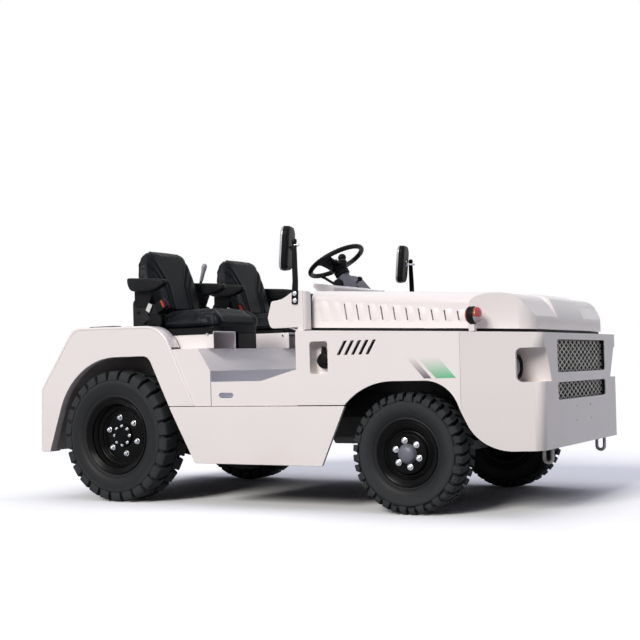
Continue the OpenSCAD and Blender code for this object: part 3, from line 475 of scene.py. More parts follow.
        made_of = {
            "sprayed_enamel": "side_skirts rear_fenders rear_body seat_box seat_stands step_panels "
                              "cowl_panels front_shell hood wing_plates dash lamp_brackets",
            "powder_coat": "frame tow_hitch seat_frames rear_axle front_axle knuckle_right knuckle_left "
                           "leaf_springs",
            "floor_enamel_painted_light": "floor_pan",
            "cast_iron": "powertrain",
            "radiator_core_painted_shade": "radiator",
            "zinc_plate": "hitch_pin",
            "forged_steel": "tow_loops",
            "galvanised_wire": "grille_mesh",
            "seal_rubber": "hood_seal",
            "grey_plastic": "steering_column",
            "moulded_plastic": "hand_lever mirrors fuel_cap pedals steering_wheel",
            "urethane_skin": "armrests",
            "grained_vinyl": "seat_cushions seat_backs",
            "acrylic_red": "turn_lamps tail_lamps",
            "acrylic_clear": "headlamps",
            "stove_enamel": "rim_front_right rim_front_left rim_rear_right rim_rear_left",
            "tyre_rubber_front": "tyre_front_right tyre_front_left",
            "tyre_rubber_rear": "tyre_rear_right tyre_rear_left",
        }
        finish_of = {node: finish for finish, nodes in made_of.items() for node in nodes.split()}
        edges_kept = {"tyre_rubber_front", "tyre_rubber_rear", "stove_enamel", "radiator_core_painted_shade", "seal_rubber"}
        same_spot, flat_angle, edge_angle = 0.05, 0.5, 40
        for name, node in NODES.items():
            finish = finish_of.get(name, "powder_coat")
            node.data.materials.clear()
            node.data.materials.append(bpy.data.materials[finish])
            if finish in edges_kept:
                continue
            node.modifiers.new("weld", "WELD").merge_threshold = same_spot * MM
            flat = node.modifiers.new("flat", "DECIMATE")
            flat.decimate_type = "DISSOLVE"
            flat.angle_limit = math.radians(flat_angle)
            bevelled(node, context.scene.tractor_sizes.edge, edge_angle).harden_normals = True
        return {"FINISHED"}


def ridge_tyre(bm, centre, radius, width, flange, crease, lugs, lug_width, count):
    """A tyre about the Y axis: carcass with creased sidewalls and lugs that wrap the shoulders."""
    half, high = width / 2, radius - flange
    # share of the way out from the flange, and how far the sidewall lies inside the full width there
    side = [(-0.08, 34), (0.015, 30), (0.04, 20), (0.09, 15), (0.115, 12), (0.14, 13), (0.155, 15), (0.20, 9),
            (0.30, 3.5), (crease - 0.14, 0.8), (crease - 0.06, 0.8), (crease - 0.02, 2.5), (crease, 5),
            (crease + 0.02, 13), (crease + 0.16, 20), (0.86, 34), (0.868, 58), (0.872, half - 4)]
    loop = [(half - y, flange + f * high) for f, y in side]
    lathe(bm, loop + [(-a, r) for a, r in loop[::-1]], centre, Y, count, closed=True)
    foot = flange + (crease + 0.01) * high
    for i in range(2 * lugs):
        row = 1 if i < lugs else -1
        turn = (i % lugs + (0 if row > 0 else 0.5)) * math.tau / lugs
        short = len(lug_width) > 1 and i % 2
        wide = lug_width[i % len(lug_width)]
        low = foot + 8 if short else foot
        flare = 1.0 if len(lug_width) == 1 or short else 1.3
        # outer face of the lug: across, out from the axle, share of its width; then its root in the carcass
        outer = [(6, radius - 0.6, 1), (half * 0.45, radius, 1), (half - 22, radius - 1.5, 1),
                 (half - 9, radius - 6, 1), (half - 3, radius - 16, 1),
                 (half - 1, 0.5 * (radius - 16 + low), 0.5 + flare / 2), (half - 1.5, low, flare)]
        inner = [(6, radius - 27), (half * 0.45, radius - 27), (half - 30, radius - 29),
                 (half - 28, radius - 31), (half - 27, radius - 33),
                 (half - 25, 0.5 * (radius - 22 + low)), (half - 22, low + 3)]
        rings = []
        for (y, r, grow), (y_in, r_in) in zip(outer, inner):
            lean = 0.3 * max(half - 22 - y, 0) / radius
            ring = []
            for across, out, spread, hand in ((y, r, grow, -1), (y, r, grow, 1), (y_in, r_in, grow * 1.1, 1),
                                              (y_in, r_in, grow * 1.1, -1)):
                angle = turn + lean + hand * 0.5 * wide * spread / radius
                spot = Vector((out * math.cos(angle), row * across, out * math.sin(angle)))
                ring.append(Vector(centre) + spot)
            rings.append(ring)
        bridge(bm, rings)


class TRACTOR_OT_tyres(bpy.types.Operator):
    """Makes the four tyres with their lugs"""
    bl_idname = "tractor.tyres"
    bl_label = "Tyres"

    def execute(self, context):
        # place, centre, edge rounding, radius, width, flange radius, crease, lugs in a row, their widths
        sets = (("front", FRONT_WHEEL, 2.2, 274, 165, 142, 0.69, 36, (31, 29)),
                ("rear", REAR_WHEEL, 2.5, 339, 190, 190, 0.66, 26, (61,)))
        for name, side in SIDES:
            for place, (x, y, z), edge, *shape in sets:
                bm = bmesh.new()
                ridge_tyre(bm, (x, side * y, z), *shape, context.scene.tractor_sizes.rounds)
                piece(f"tyre_{place}_{name}_look", bm, f"tyre_rubber_{place}",
                      f"wheel_{place}_{name}", edge=edge, stands_for=(f"tyre_{place}_{name}",))
        return {"FINISHED"}


def wheel_nut(bm, spot, out, size, foot):
    """A nut on its washer, with the stud's end when it is a large one."""
    lathe(bm, [(foot - 2, 0), (foot - 2, size * 1.25), (foot + 2, size * 1.25), (foot + 3, size * 1.1),
               (foot + 3, 0)], spot, out, 24)
    lathe(bm, [(foot + 2, 0), (foot + 2, size), (foot + size * 0.95, size), (foot + size * 1.1, size * 0.84),
               (foot + size * 1.1, 0)], spot, out, 6)
    if size > 10:
        lathe(bm, [(foot + size, 0), (foot + size, size * 0.5), (foot + size * 1.5, size * 0.5),
                   (foot + size * 1.6, size * 0.38), (foot + size * 1.6, 0)], spot, out, 20)


class TRACTOR_OT_wheels(bpy.types.Operator):
    """Makes the pressed rims, the nuts and the hub caps"""
    bl_idname = "tractor.wheels"
    bl_label = "Wheels"

    def execute(self, context):
        sizes = context.scene.tractor_sizes
        # place, centre, flange radius, half width, nut circle, how far out the disc lies, its hole and rings
        sets = (("front", FRONT_WHEEL, 142, 72, 60, 60, 34,
                 [(60, 88), (54, 94), (46, 97), (44, 104), (50, 110), (53, 114), (50, 119), (46, 122)]),
                ("rear", REAR_WHEEL, 190, 85, 95, 16, 50,
                 [(16, 120), (14, 126), (17, 131), (24, 134), (23, 140), (30, 146), (32, 151), (44, 155),
                  (48, 160), (56, 164)]))
        for place, (x, y, z), flange, wide, nut_circle, disc, hole, rings in sets:
            for name, side in SIDES:
                centre, out = Vector((x, side * y, z)), side * Y
                body = f"wheel_{place}_{name}"
                bm = bmesh.new()
                lip = [(wide - 14, flange - 12), (wide - 12, flange - 2), (wide - 10, flange + 5),
                       (wide - 5, flange + 7), (wide - 3, flange + 3), (wide - 6, flange - 4),
                       (wide - 12, flange - 14)]
                face = [(disc, hole)] + rings + [(wide - 26, flange - 22), (wide - 18, flange - 24)]
                back = [(wide - 22, flange - 17)] + [(a - 7, r + 1) for a, r in face[-2::-1]]
                lathe(bm, face + lip[::-1] + back, centre, out, sizes.rounds, closed=True)
                barrel = [(wide - 16, flange - 17), (20, flange - 26), (-20, flange - 26),
                          (-wide + 16, flange - 17), (-wide + 11, flange + 4), (-wide + 5, flange + 6),
                          (-wide + 4, flange), (-wide + 10, flange - 22), (-20, flange - 32),
                          (20, flange - 32), (wide - 20, flange - 23)]
                lathe(bm, barrel, centre, out, sizes.rounds, closed=True)
                spots = [(nut_circle, t + math.radians(12), sizes.nut / MM, disc) for t in turns(6)]
                if place == "front":
                    hub = [(disc - 88, 0), (disc - 88, 42), (disc - 6, 44), (disc + 3, 43), (disc + 3, 0)]
                else:
                    hub = [(-74, 0), (-74, 56), (8, 60), (22, 60), (28, 56), (30, 46), (35, 42), (36, 0)]
                    spots += [(49, t, 7, 28) for t in turns(8)]
                lathe(bm, hub, centre, out, 48)
                piece(f"rim_{place}_{name}_look", bm, "stove_enamel", body, edge=1.2,
                      stands_for=(f"rim_{place}_{name}",))
                bm = bmesh.new()
                u, v = square_to(out)
                for spread, angle, size, foot in spots:
                    spot = centre + spread * (math.cos(angle) * u + math.sin(angle) * v)
                    wheel_nut(bm, spot, out, size, foot)
                piece(f"nuts_{place}_{name}", bm, "zinc_plate", body, edge=0.8)
                if place == "front":
                    bm = bmesh.new()
                    cap = [(0, 0), (0, 45), (3, 45), (5, 43), (12, 42), (19, 38), (25, 29), (28, 18),
                           (29.5, 0)]
                    lathe(bm, [(disc + a, r) for a, r in cap], centre, out, 48)
                    piece(f"hub_cap_{name}", bm, "cap_paint", body)
        return {"FINISHED"}


def shown(obj):
    """A new mesh of the object as its modifiers make it."""
    return bpy.data.meshes.new_from_object(obj.evaluated_get(bpy.context.evaluated_depsgraph_get()))


def swollen(name, rings, sizes, held):
    """Mesh of a closed form, remeshed and blown up by a cloth simulation with the held part kept in place."""
    pressure, frames, smoothings = 4.0, 20, 6
    bm = bmesh.new()
    bridge(bm, rings)
    bmesh.ops.recalc_face_normals(bm, faces=bm.faces)
    mesh = bpy.data.meshes.new(name)
    bm.to_mesh(mesh)
    bm.free()
    obj = bpy.data.objects.new(name, mesh)
    scene = bpy.context.scene
    scene.collection.objects.link(obj)
    remesh = obj.modifiers.new("remesh", "REMESH")
    remesh.mode = "VOXEL"
    remesh.voxel_size = sizes.voxel
    even = shown(obj)
    obj.modifiers.clear()
    obj.data = even
    start = [v.co.copy() for v in even.vertices]
    group = obj.vertex_groups.new(name="held")
    group.add([i for i, co in enumerate(start) if held(co / MM)], 1.0, "REPLACE")
    cloth = obj.modifiers.new("cloth", "CLOTH")
    cloth.settings.use_pressure = True
    cloth.settings.uniform_pressure_force = pressure
    cloth.settings.vertex_group_mass = "held"
    cloth.settings.effector_weights.gravity = 0.0
    for number in range(1, frames + 1):
        scene.frame_set(number)
    blown = shown(obj)
    scene.frame_set(1)
    obj.modifiers.clear()
    for vertex, first in zip(blown.vertices, start):
        move = vertex.co - first
        if move.length > sizes.puff:
            vertex.co = first + move * (sizes.puff / move.length)
    obj.data = blown
    obj.modifiers.new("smooth", "SMOOTH").iterations = smoothings
    obj.modifiers.new("rounds", "SUBSURF").levels = 1
    soft = shown(obj)
    bpy.data.objects.remove(obj)
    return soft


def sewn(mesh, seams, flat, faces_out, deep=6, wide=7):
    """Draws the surface in along the seams, which are lines in the flat coordinates."""
    parts = [(a, b) for seam in seams for a, b in zip(seam, seam[1:])]
    normals = [v.normal.copy() for v in mesh.vertices]
    for vertex, normal in zip(mesh.vertices, normals):
        if not faces_out(normal):
            continue
        spot = flat(vertex.co / MM)
        shares = [min(max((spot - a).dot(b - a) / (b - a).length_squared, 0), 1) for a, b in parts]
        near = min((spot - a - (b - a) * share).length for (a, b), share in zip(parts, shares))
        if near < 3 * wide:
            ridge = 0.25 * deep * math.exp(-((near - 2 * wide) / wide) ** 2)
            vertex.co -= normal * (deep * math.exp(-(near / wide) ** 2) - ridge) * MM


def stitches(bm, mesh, seams, origin, direction, step, apart=5):
    """Rows of thread on both sides of the seams, laid on the surface."""
    thread, share = 1.0, 0.62
    tree = skin_of(mesh)
    for a, b in [pair for seam in seams for pair in zip(seam, seam[1:])]:
        along = (b - a).normalized()
        across = Vector((-along.y, along.x)) * apart
        for row in (-1, 1):
            for k in range(int((b - a).length / step)):
                spot = a + row * across + along * (k * step)
                ends = []
                for point in (spot, spot + along * step * share):
                    found = tree.ray_cast(origin(point) * MM, direction)[0]
                    if found is not None:
                        ends.append(found / MM - direction * 0.5)
                if len(ends) == 2 and (ends[0] - ends[1]).length < 2 * step:
                    tube(bm, ends, thread, 6)


def piping(bm, line, side):
    """A cord along the line and back along its mirror image; the first points are those up the side."""
    cord = 3.2
    line = line + [Vector((p.x, -p.y, p.z)) for p in line[:side][::-1]]
    tube(bm, smooth_line(line, 3), cord, 10)


def back_section(high, wide, thick, corner):
    """Outline of the seat back at a height along its lean."""
    centre = BACK_FOOT + BACK_UP * high
    return [centre + BACK_OUT * a + Y * b for a, b in rounded(-thick, -wide, 0, wide, corner, 5)]


def at_both_seats(mesh):
    """The mesh once for each seat."""
    bm = bmesh.new()
    for y in SEATS:
        bm.from_mesh(mesh)
        bmesh.ops.translate(bm, verts=bm.verts[-len(mesh.vertices):], vec=(0, y * MM, 0))
    return bm


class TRACTOR_OT_seats(bpy.types.Operator):
    """Makes the seat cushions and backs from cloth simulations, with their seams and stitches"""
    bl_idname = "tractor.seats"
    bl_label = "Seats"

    def execute(self, context):
        sizes = context.scene.tractor_sizes
        # cushion sections along the length: x, half width, bottom, top, radius of the upper corners
        plan = [(-594, 212, 892, 952, 24), (-586, 222, 888, 960, 24), (-520, 226, 886, 964, 24),
                (-440, 226, 886, 965, 24), (-360, 224, 886, 966, 24), (-310, 218, 887, 967, 24),
                (-278, 206, 892, 962, 24), (-258, 190, 900, 948, 24), (-250, 172, 910, 934, 10)]
        rings = []
        for x, w, low, high, r in plan:
            shape = outline([(-w, low, 12), (w, low, 12), (w, high, r), (-w, high, r)], 5)
            rings.append([Vector((x, b, c)) for b, c in shape])
        cushion = swollen("cushion", rings, sizes, lambda p: p.z < 900)
        lines = [[Vector(p) for p in line] for line in (
            ((-580, -120), (-400, -132), (-318, -150)), ((-580, 120), (-400, 132), (-318, 150)),
            ((-318, -150), (-308, 0), (-318, 150)))]
        sewn(cushion, lines, lambda p: Vector((p.x, p.y)), lambda n: n.z > 0.6)
        # back sections: height, half width, thickness
        tall = [(4, 186, 50), (14, 198, 58), (50, 207, 62), (120, 218, 64), (190, 223, 64), (250, 215, 62),
                (290, 203, 58), (322, 190, 54), (343, 177, 50), (358, 160, 44), (368, 138, 36),
                (375, 108, 26), (378, 70, 16)]
        rings = [back_section(h, w, t, min(22, t / 2.2)) for h, w, t in tall]
        back = swollen("back", rings, sizes, lambda p: (p - BACK_FOOT).dot(BACK_OUT) < -46)
        funnel = [[Vector(p) for p in line] for s in (-1, 1) for line in (
            ((s * 148, 306), (s * 74, 176), (s * 70, 24)), ((s * 176, 276), (s * 100, 150), (s * 96, 24)))]
        sewn(back, funnel, lambda p: Vector((p.y, (p - BACK_FOOT).dot(BACK_UP))),
             lambda n: n.dot(BACK_OUT) > 0.6)
        for mesh, node in ((cushion, "seat_cushions"), (back, "seat_backs")):
            obj = piece(f"{node}_look", at_both_seats(mesh), "grained_vinyl", sharp=80,
                        stands_for=(node,))
        bm = bmesh.new()
        step = sizes.stitch / MM
        stitches(bm, cushion, lines, lambda p: Vector((p.x, p.y, 1100)), -Z, step)
        stitches(bm, back, funnel, lambda p: BACK_FOOT + BACK_UP * p.y + Y * p.x + BACK_OUT * 200,
                 -BACK_OUT, step)
        # piping laid along the front and the rear edge of the back and round the foot of the cushion
        skin = skin_of(back)
        for depth in (-12, -50):
            heights, places = range(20, 331, 24), range(-132, 133, 33)
            line = [hit(skin, BACK_FOOT + BACK_UP * h - Y * 400 + BACK_OUT * depth, Y)[0] for h in heights]
            line += [hit(skin, BACK_FOOT + BACK_UP * 600 + Y * b + BACK_OUT * (depth * 0.6 - 8), -BACK_UP)[0]
                     for b in places]
            piping(bm, line, len(heights))
        skin = skin_of(cushion)
        line = [hit(skin, (x, -400, 908), Y)[0] for x in range(-580, -289, 29)]
        piping(bm, line + [hit(skin, (0, b, 912), -X)[0] for b in range(-150, 151, 30)], len(line))
        thread = bpy.data.meshes.new("thread")
        bm.to_mesh(thread)
        bm.free()
        piece("seat_thread", at_both_seats(thread), "belt_web", sharp=60)
        return {"FINISHED"}


class TRACTOR_OT_seat_fittings(bpy.types.Operator):
    """Makes the armrests, belt buckles, hinge covers, bellows and back shells of the seats"""
    bl_idname = "tractor.seat_fittings"
    bl_label = "Seat fittings"

    def execute(self, context):
        arms, shells, red, tags, belts = (bmesh.new() for _ in range(5))
        stands = surface("seat_stands")
        # how far from the middle of the seat: armrest, hinge arm, side plate, side of the pan, belt
        arm_out, hinge_out, plate_out, pan_out, belt_out = 265, 252, 251, 221, 262
        # armrest sections along the length: x, half width, bottom, top
        rest = [(-763, 14, 1136, 1148), (-758, 21, 1120, 1152), (-742, 25, 1088, 1153),
                (-730, 26, 1081, 1152), (-640, 26, 1077, 1146), (-596, 26, 1080, 1143),
                (-560, 25, 1092, 1140), (-532, 22, 1108, 1136), (-524, 15, 1114, 1131)]
        for y in SEATS:
            for s in (-1, 1):
                bridge(arms, [[Vector((x, y + s * arm_out + b, c)) for b, c in
                               rounded(-w, low, w, high, min(w, (high - low) / 2) * 0.42, 4)]
                              for x, w, low, high in rest])
                # hinge arm from the armrest down to the side plate
                slab(shells, outline([(-735, 1000, 14), (-650, 1000, 14), (-612, 1086, 6), (-735, 1090, 6)]),
                     (0, y + s * hinge_out + 3, 0), X, Z, 6)
                # round cover over the recliner on the side plate, and the plate's screws
                lathe(shells, [(0, 0), (0, 46), (8, 46), (13, 42), (15, 30), (15, 12), (17, 10), (17, 0)],
                      (-606, y + s * plate_out, 917), s * Y, 40)
                for x, z in ((-700, 1010), (-716, 975), (-690, 905)):
                    lathe(shells, [(0, 0), (0, 9), (4, 9), (6, 6), (6, 0)], (x, y + s * plate_out, z),
                          s * Y, 18)
            # moulded shell behind the back, with a pleated bellows at its side
            rings = [back_section(h, w, 20, 8)
                     for h, w in ((40, 196), (120, 205), (200, 202), (260, 184), (310, 154), (336, 130))]
            bridge(shells, [[p + Y * y - BACK_OUT * 60 for p in ring] for ring in rings])
            for k in range(7):
                spot = BACK_FOOT + BACK_UP * (208 + 11 * k) - BACK_OUT * 74 + Y * y
                wide = 186 - 3.4 * k
                for s in (-1, 1):
                    tube(shells, [spot + s * Y * wide, spot + s * Y * (wide - 40)], 6, 12)
            # moulded pan that closes the space under the cushion, and its side plates
            rings = []
            for z, grow in ((860, 0), (866, 6), (890, 8), (900, 4)):
                rear, front = -664 - grow, -262 + grow
                shape = outline([(rear, -206 - grow, 20), (front, -190 - grow, 60), (front, 190 + grow, 60),
                                 (rear, 206 + grow, 20)])
                rings.append([Vector((a, y + b, z)) for a, b in shape])
            bridge(shells, rings)
            for s in (-1, 1):
                slab(shells, outline([(-650, 880, 10), (-556, 880, 10), (-556, 962, 20), (-650, 962, 20)]),
                     (0, y + s * pan_out + 3, 0), X, Z, 6)
            # slide rail on the outer face of the stand
            out = math.copysign(1, y)
            point, _ = hit(stands, (-400, out * 1000, 860), -out * Y)
            slab(shells, rounded(-566, 846, -236, 878, 4), (0, point.y + out * 3, 0), X, Z, out * 9)
            # belt: webbing stalk, buckle with its button, and a sewn label
            base, head = Vector((-640, y - belt_out, 955)), Vector((-592, y - belt_out, 982))
            run = (head - base).normalized()
            u = run.cross(Y)
            slab(belts, [(-3, -20), (3, -20), (3, 20), (-3, 20)], base, Y, -u, (head - base).length)
            buckle = ((0, 18, 8), (4, 24, 11), (30, 27, 12), (66, 27, 12), (74, 24, 10), (77, 17, 7))
            bridge(shells, [[head + run * d + Y * a + u * b for a, b in rounded(-t, -w, t, w, 5, 3)]
                            for d, w, t in buckle])
            slab(red, rounded(-6, -19, 6, 19, 3), head + run * 58 - Y * 11, run, u,
                 -4 if run.cross(u).y > 0 else 4)
            slope = Vector((0.46, 0, 0.89))
            slab(tags, rounded(-22, -13, 22, 13, 3), (-640, y - 257.5, 995), slope, slope.cross(Y),
                 -2 if slope.cross(slope.cross(Y)).y > 0 else 2)
        piece("armrests_look", arms, "urethane_skin", rounds=1, sharp=60,
              stands_for=("armrests",))
        piece("seat_shells", shells, "moulded_plastic", edge=1.2)
        piece("belt_buttons", red, "button_red", edge=0.8)
        piece("belt_labels", tags, "label_white", edge=0.4)
        piece("belt_webbing", belts, "belt_web", edge=1.0)
        return {"FINISHED"}


class TRACTOR_OT_steering(bpy.types.Operator):
    """Makes the steering wheel with its knob, and the stalk on the column"""
    bl_idname = "tractor.steering"
    bl_label = "Steering"

    def execute(self, context):
        centre = Vector((-75, 360, 1258))
        tilt, knob_at = math.radians(28), math.radians(99)
        axis = Vector((-math.sin(tilt), 0, math.cos(tilt)))
        ahead = Vector((math.cos(tilt), 0, math.sin(tilt)))
        reach = 158
        steps = context.scene.tractor_sizes.rounds

        def outward(angle):
            """Direction from the centre at an angle round the wheel."""
            return math.cos(angle) * ahead + math.sin(angle) * Y

        bm = bmesh.new()
        tube(bm, [centre + reach * outward(t) for t in turns(steps)],
             [13.3 + 0.7 * math.cos(k * math.pi) for k in range(steps)], 16, closed=True, up=axis.copy())
        lathe(bm, [(-58, 0), (-58, 40), (-48, 48), (-32, 54), (-22, 54), (-14, 48), (-9, 32), (-7, 0)],
              centre, axis, 40)
        for degrees in (90, 270):
            out = outward(math.radians(degrees))
            across = axis.cross(out)
            rings = []
            # spoke sections: out from the centre, above the rim, half width, half thickness
            for r, drop, wide, thick in ((24, -34, 42, 12), (50, -32, 40, 11), (88, -22, 37, 9),
                                         (124, -9, 40, 8), (reach - 8, -2, 54, 7)):
                shape = rounded(-wide, -thick, wide, thick, thick * 0.9, 4)
                rings.append([centre + out * r + axis * (drop + b) + across * a for a, b in shape])
            bridge(bm, rings)
        # spinner knob on the rim
        lathe(bm, [(0, 0), (0, 13), (14, 12), (20, 8), (30, 8), (34, 15), (42, 22), (53, 24), (64, 21),
                   (72, 11), (75, 0)], centre + reach * outward(knob_at), axis, 32)
        piece("steering_wheel_look", bm, "moulded_plastic", "steering_wheel", sharp=50,
              stands_for=("steering_wheel",))
        bm = bmesh.new()
        # stalk, collar under the wheel, knobs and cover of the column
        tube(bm, smooth_line([(-48, 330, 1118), (-86, 322, 1140), (-122, 314, 1164), (-141, 310, 1176)], 5),
             [7.5] * 11 + [8.5, 10, 10.5, 10, 7], 14)
        lathe(bm, [(-92, 0), (-92, 40), (-84, 43), (-76, 40), (-68, 43), (-62, 38), (-59, 12), (-59, 0)],
              centre, axis, 32)
        lathe(bm, [(0, 0), (0, 16), (10, 15), (14, 10), (15, 0)], (96, 290, 1090), -Y, 24)
        lathe(bm, [(0, 0), (0, 9), (5, 9), (7, 6), (7, 0)], (20, 290, 1092), -Y, 20)
        lathe(bm, [(-8, 0), (-8, 5), (16, 5), (18, 11), (26, 14), (34, 12), (38, 6), (39, 0)],
              (70, 330, 1131), Vector((0.74, 0, 0.67)), 24)
        lathe(bm, [(0, 0), (0, 30), (14, 30), (18, 27), (18, 12), (20, 10), (20, 0)],
              (-22, 292, 1122), -Y, 32)
        slab(bm, [(100, 1098), (150, 1087), (228, 1076), (228, 1070), (100, 1066)], (0, 292, 0), X, Z, -60)
        piece("column_controls", bm, "moulded_plastic", edge=0.8)
        return {"FINISHED"}


class TRACTOR_OT_mirrors(bpy.types.Operator):
    """Makes the mirrors with their glasses, stems and clamps"""
    bl_idname = "tractor.mirrors"
    bl_label = "Mirrors"

    def execute(self, context):
        black, glass, bright, bezel = (bmesh.new() for _ in range(4))
        shape = outline([(-62, -104, 36), (62, -104, 36), (70, 104, 44), (-70, 104, 44)])
        # steps of the shell and of the bright bezel: along the mirror's axis and share of the full outline
        shell = ((-15, 0.90), (-19, 0.94), (-18, 0.985), (-12, 1.0), (2, 1.0), (10, 0.985), (16, 0.95),
                 (19, 0.88), (20.4, 0.76), (20.6, 0.5))
        rim = ((-14, 0.90), (-20, 0.925), (-21, 0.97), (-18, 1.01), (-11, 1.012), (-11, 0.9))
        # flat stem, cranked a little outwards half way up: height, both edges, distance to the side
        crank = ((966, -6, 18, 710.5), (970, -10, 22, 710.5), (1036, -6, 25, 710.5), (1075, 0, 28, 713),
                 (1140, -1, 26, 713), (1200, -1, 24, 711), (1262, 0, 22, 711))
        for side, stem, degrees in ((-1, 288, 16), (1, 211, 12)):
            centre = Vector((207, side * 630, 1240))
            turn = math.radians(degrees)
            ahead = Vector((math.cos(turn), math.sin(turn), 0))
            across = Z.cross(ahead)
            lean, glass_share = Z + 0.1 * X, 0.91
            for bm, steps, closed in ((black, shell, False), (bezel, rim, True)):
                bridge(bm, [[centre + ahead * along + (across * a + lean * b) * size for a, b in shape]
                            for along, size in steps], closed=closed)
            slab(glass, [Vector(p) * glass_share for p in shape], centre - ahead * 15, across, lean,
                 1.6 * (1 if across.cross(Z).dot(ahead) < 0 else -1))
            bridge(black, [[Vector((stem - 4 + x, side * (y + d), z))
                            for x, d in ((x0, 0), (x1, 0), (x1, 7), (x0, 7))] for z, x0, x1, y in crank])
            # ball joint, arm and screws
            grip = Vector((stem + 8, side * 714, 1242))
            lathe(black, [(-13, 0), (-12, 7), (-8, 11), (0, 13), (8, 11), (12, 7), (13, 0)],
                  grip + Z * 18, Z, 20)
            mount = centre + ahead * 20
            tube(bright, [grip + ahead * 14, grip + ahead * 16 - side * Y * 6, mount + ahead * 3], 5, 12)
            for spot in (mount + Z * 14, mount - Z * 6 + across * 8):
                lathe(bright, [(-3, 0), (-3, 7), (3, 7), (5, 4), (5, 0)], spot, ahead, 16)
            lathe(bright, [(-8, 0), (-8, 6), (14, 6), (16, 3), (16, 0)], grip + ahead * 8, ahead, 16)
            for z in (983, 1016):
                spot = (stem + 4, side * 717.5, z)
                lathe(bright, [(-2, 0), (-2, 9), (1, 9), (1, 7), (6, 7), (7, 5), (7, 0)], spot, side * Y, 6)
                lathe(bright, [(-1, 0), (-1, 11), (0.8, 11), (1.4, 10), (1.4, 0)], spot, side * Y, 24)
        piece("mirrors_look", black, "moulded_plastic", edge=1.0, sharp=40,
              stands_for=("mirrors",))
        piece("mirror_glasses", glass, "mirror_glass", edge=0.6)
        piece("mirror_bezels", bezel, "bezel_metal", sharp=50)
        piece("mirror_clamps", bright, "zinc_plate", edge=0.5)
        return {"FINISHED"}


class TRACTOR_OT_lamps(bpy.types.Operator):
    """Makes the turn lamps, the headlamps and the tail lamps"""
    bl_idname = "tractor.lamps"
    bl_label = "Lamps"

    def execute(self, context):
        black, red, clear, glass, bowl = (bmesh.new() for _ in range(5))
        for _, side in SIDES:
            # turn lamp: ring on its foot, red dome behind, front dome that is red above and clear below
            centre = Vector((1164, side * 685, 879))
            lathe(black, [(-15, 30), (-15, 35.5), (-12, 37), (12, 37), (15, 35.5), (15, 30)],
                  centre, X, 48, closed=True)
            slab(black, rounded(-11, -10, 11, 10, 3), (1164, side * 685, 838), X, Y, 14)
            lathe(red, [(-13, 34), (-17, 33.5), (-22, 30), (-26, 22), (-28, 10), (-28.5, 0)], centre, X, 48)
            for bm, keep in ((red, -1), (clear, 1)):
                part = bmesh.new()
                lathe(part, [(13, 34), (20, 34.5), (28, 33), (35, 27), (39, 16), (40.5, 0)], centre, X, 48)
                everything = part.verts[:] + part.edges[:] + part.faces[:]
                bmesh.ops.bisect_plane(part, geom=everything, plane_co=(centre - Z * 10) * MM,
                                       plane_no=(0, 0, keep), clear_outer=True)
                lens = bpy.data.meshes.new("lens")
                part.to_mesh(lens)
                part.free()
                bm.from_mesh(lens)
            # headlamp: black bezel, reflector bowl, bulb shield and fluted glass
            lamp = Vector((1290, side * 547, 649))
            lathe(black, [(1, 38), (1, 54), (20, 54.5), (26, 53.5), (29, 50), (28, 44), (24, 41), (14, 40)],
                  lamp, X, 64, closed=True)
            lathe(bowl, [(2, 0), (2, 12), (5, 30), (11, 43), (14, 46)], lamp, X, 64)
            lathe(bowl, [(4, 0), (4, 9), (12, 9), (14, 6), (14, 0)], lamp, X, 24)
            lathe(glass, [(16, 41), (18.5, 39.5), (20.5, 32), (21.6, 17), (22, 0)], lamp, X, 64)
            # tail lamp: housing with three lenses
            slab(black, rounded(-46, -46, 46, 46, 8), (-1303, side * 565, 515), Y, Z, -14)
            for bm, low, high in ((red, 18, 42), (red, -16, 16), (clear, -42, -18)):
                half, middle = (high - low) / 2, 515 + (low + high) / 2
                bridge(bm, [[Vector((-1316 - along, side * 565 + a * size, middle + b * size))
                             for a, b in rounded(-42, -half, 42, half, 4, 3)]
                            for along, size in ((0, 1.0), (6, 1.0), (9, 0.96), (10, 0.9))])
        piece("lamp_bodies", black, "moulded_plastic", edge=0.8, stands_for=("headlamps",))
        piece("lenses_red", red, "acrylic_red", sharp=50, stands_for=("turn_lamps", "tail_lamps"))
        piece("lenses_clear", clear, "acrylic_clear", sharp=50)
        piece("headlamp_bowls", bowl, "reflector_coat", sharp=50)
        piece("headlamp_glasses", glass, "lamp_glass", sharp=50)
        return {"FINISHED"}


def pressing(bm, tree, rows, direction, sink=2):
    """A closed pad on a surface, from rows of points above it and how far each stands out of the surface."""
    rings = []
    for row in rows:
        top, foot = [], []
        for origin, height in row:
            point, normal = hit(tree, origin, direction)
            top.append(point + normal * height)
            foot.append(point - normal * sink)
        rings.append(top + foot[::-1])
    bridge(bm, rings)


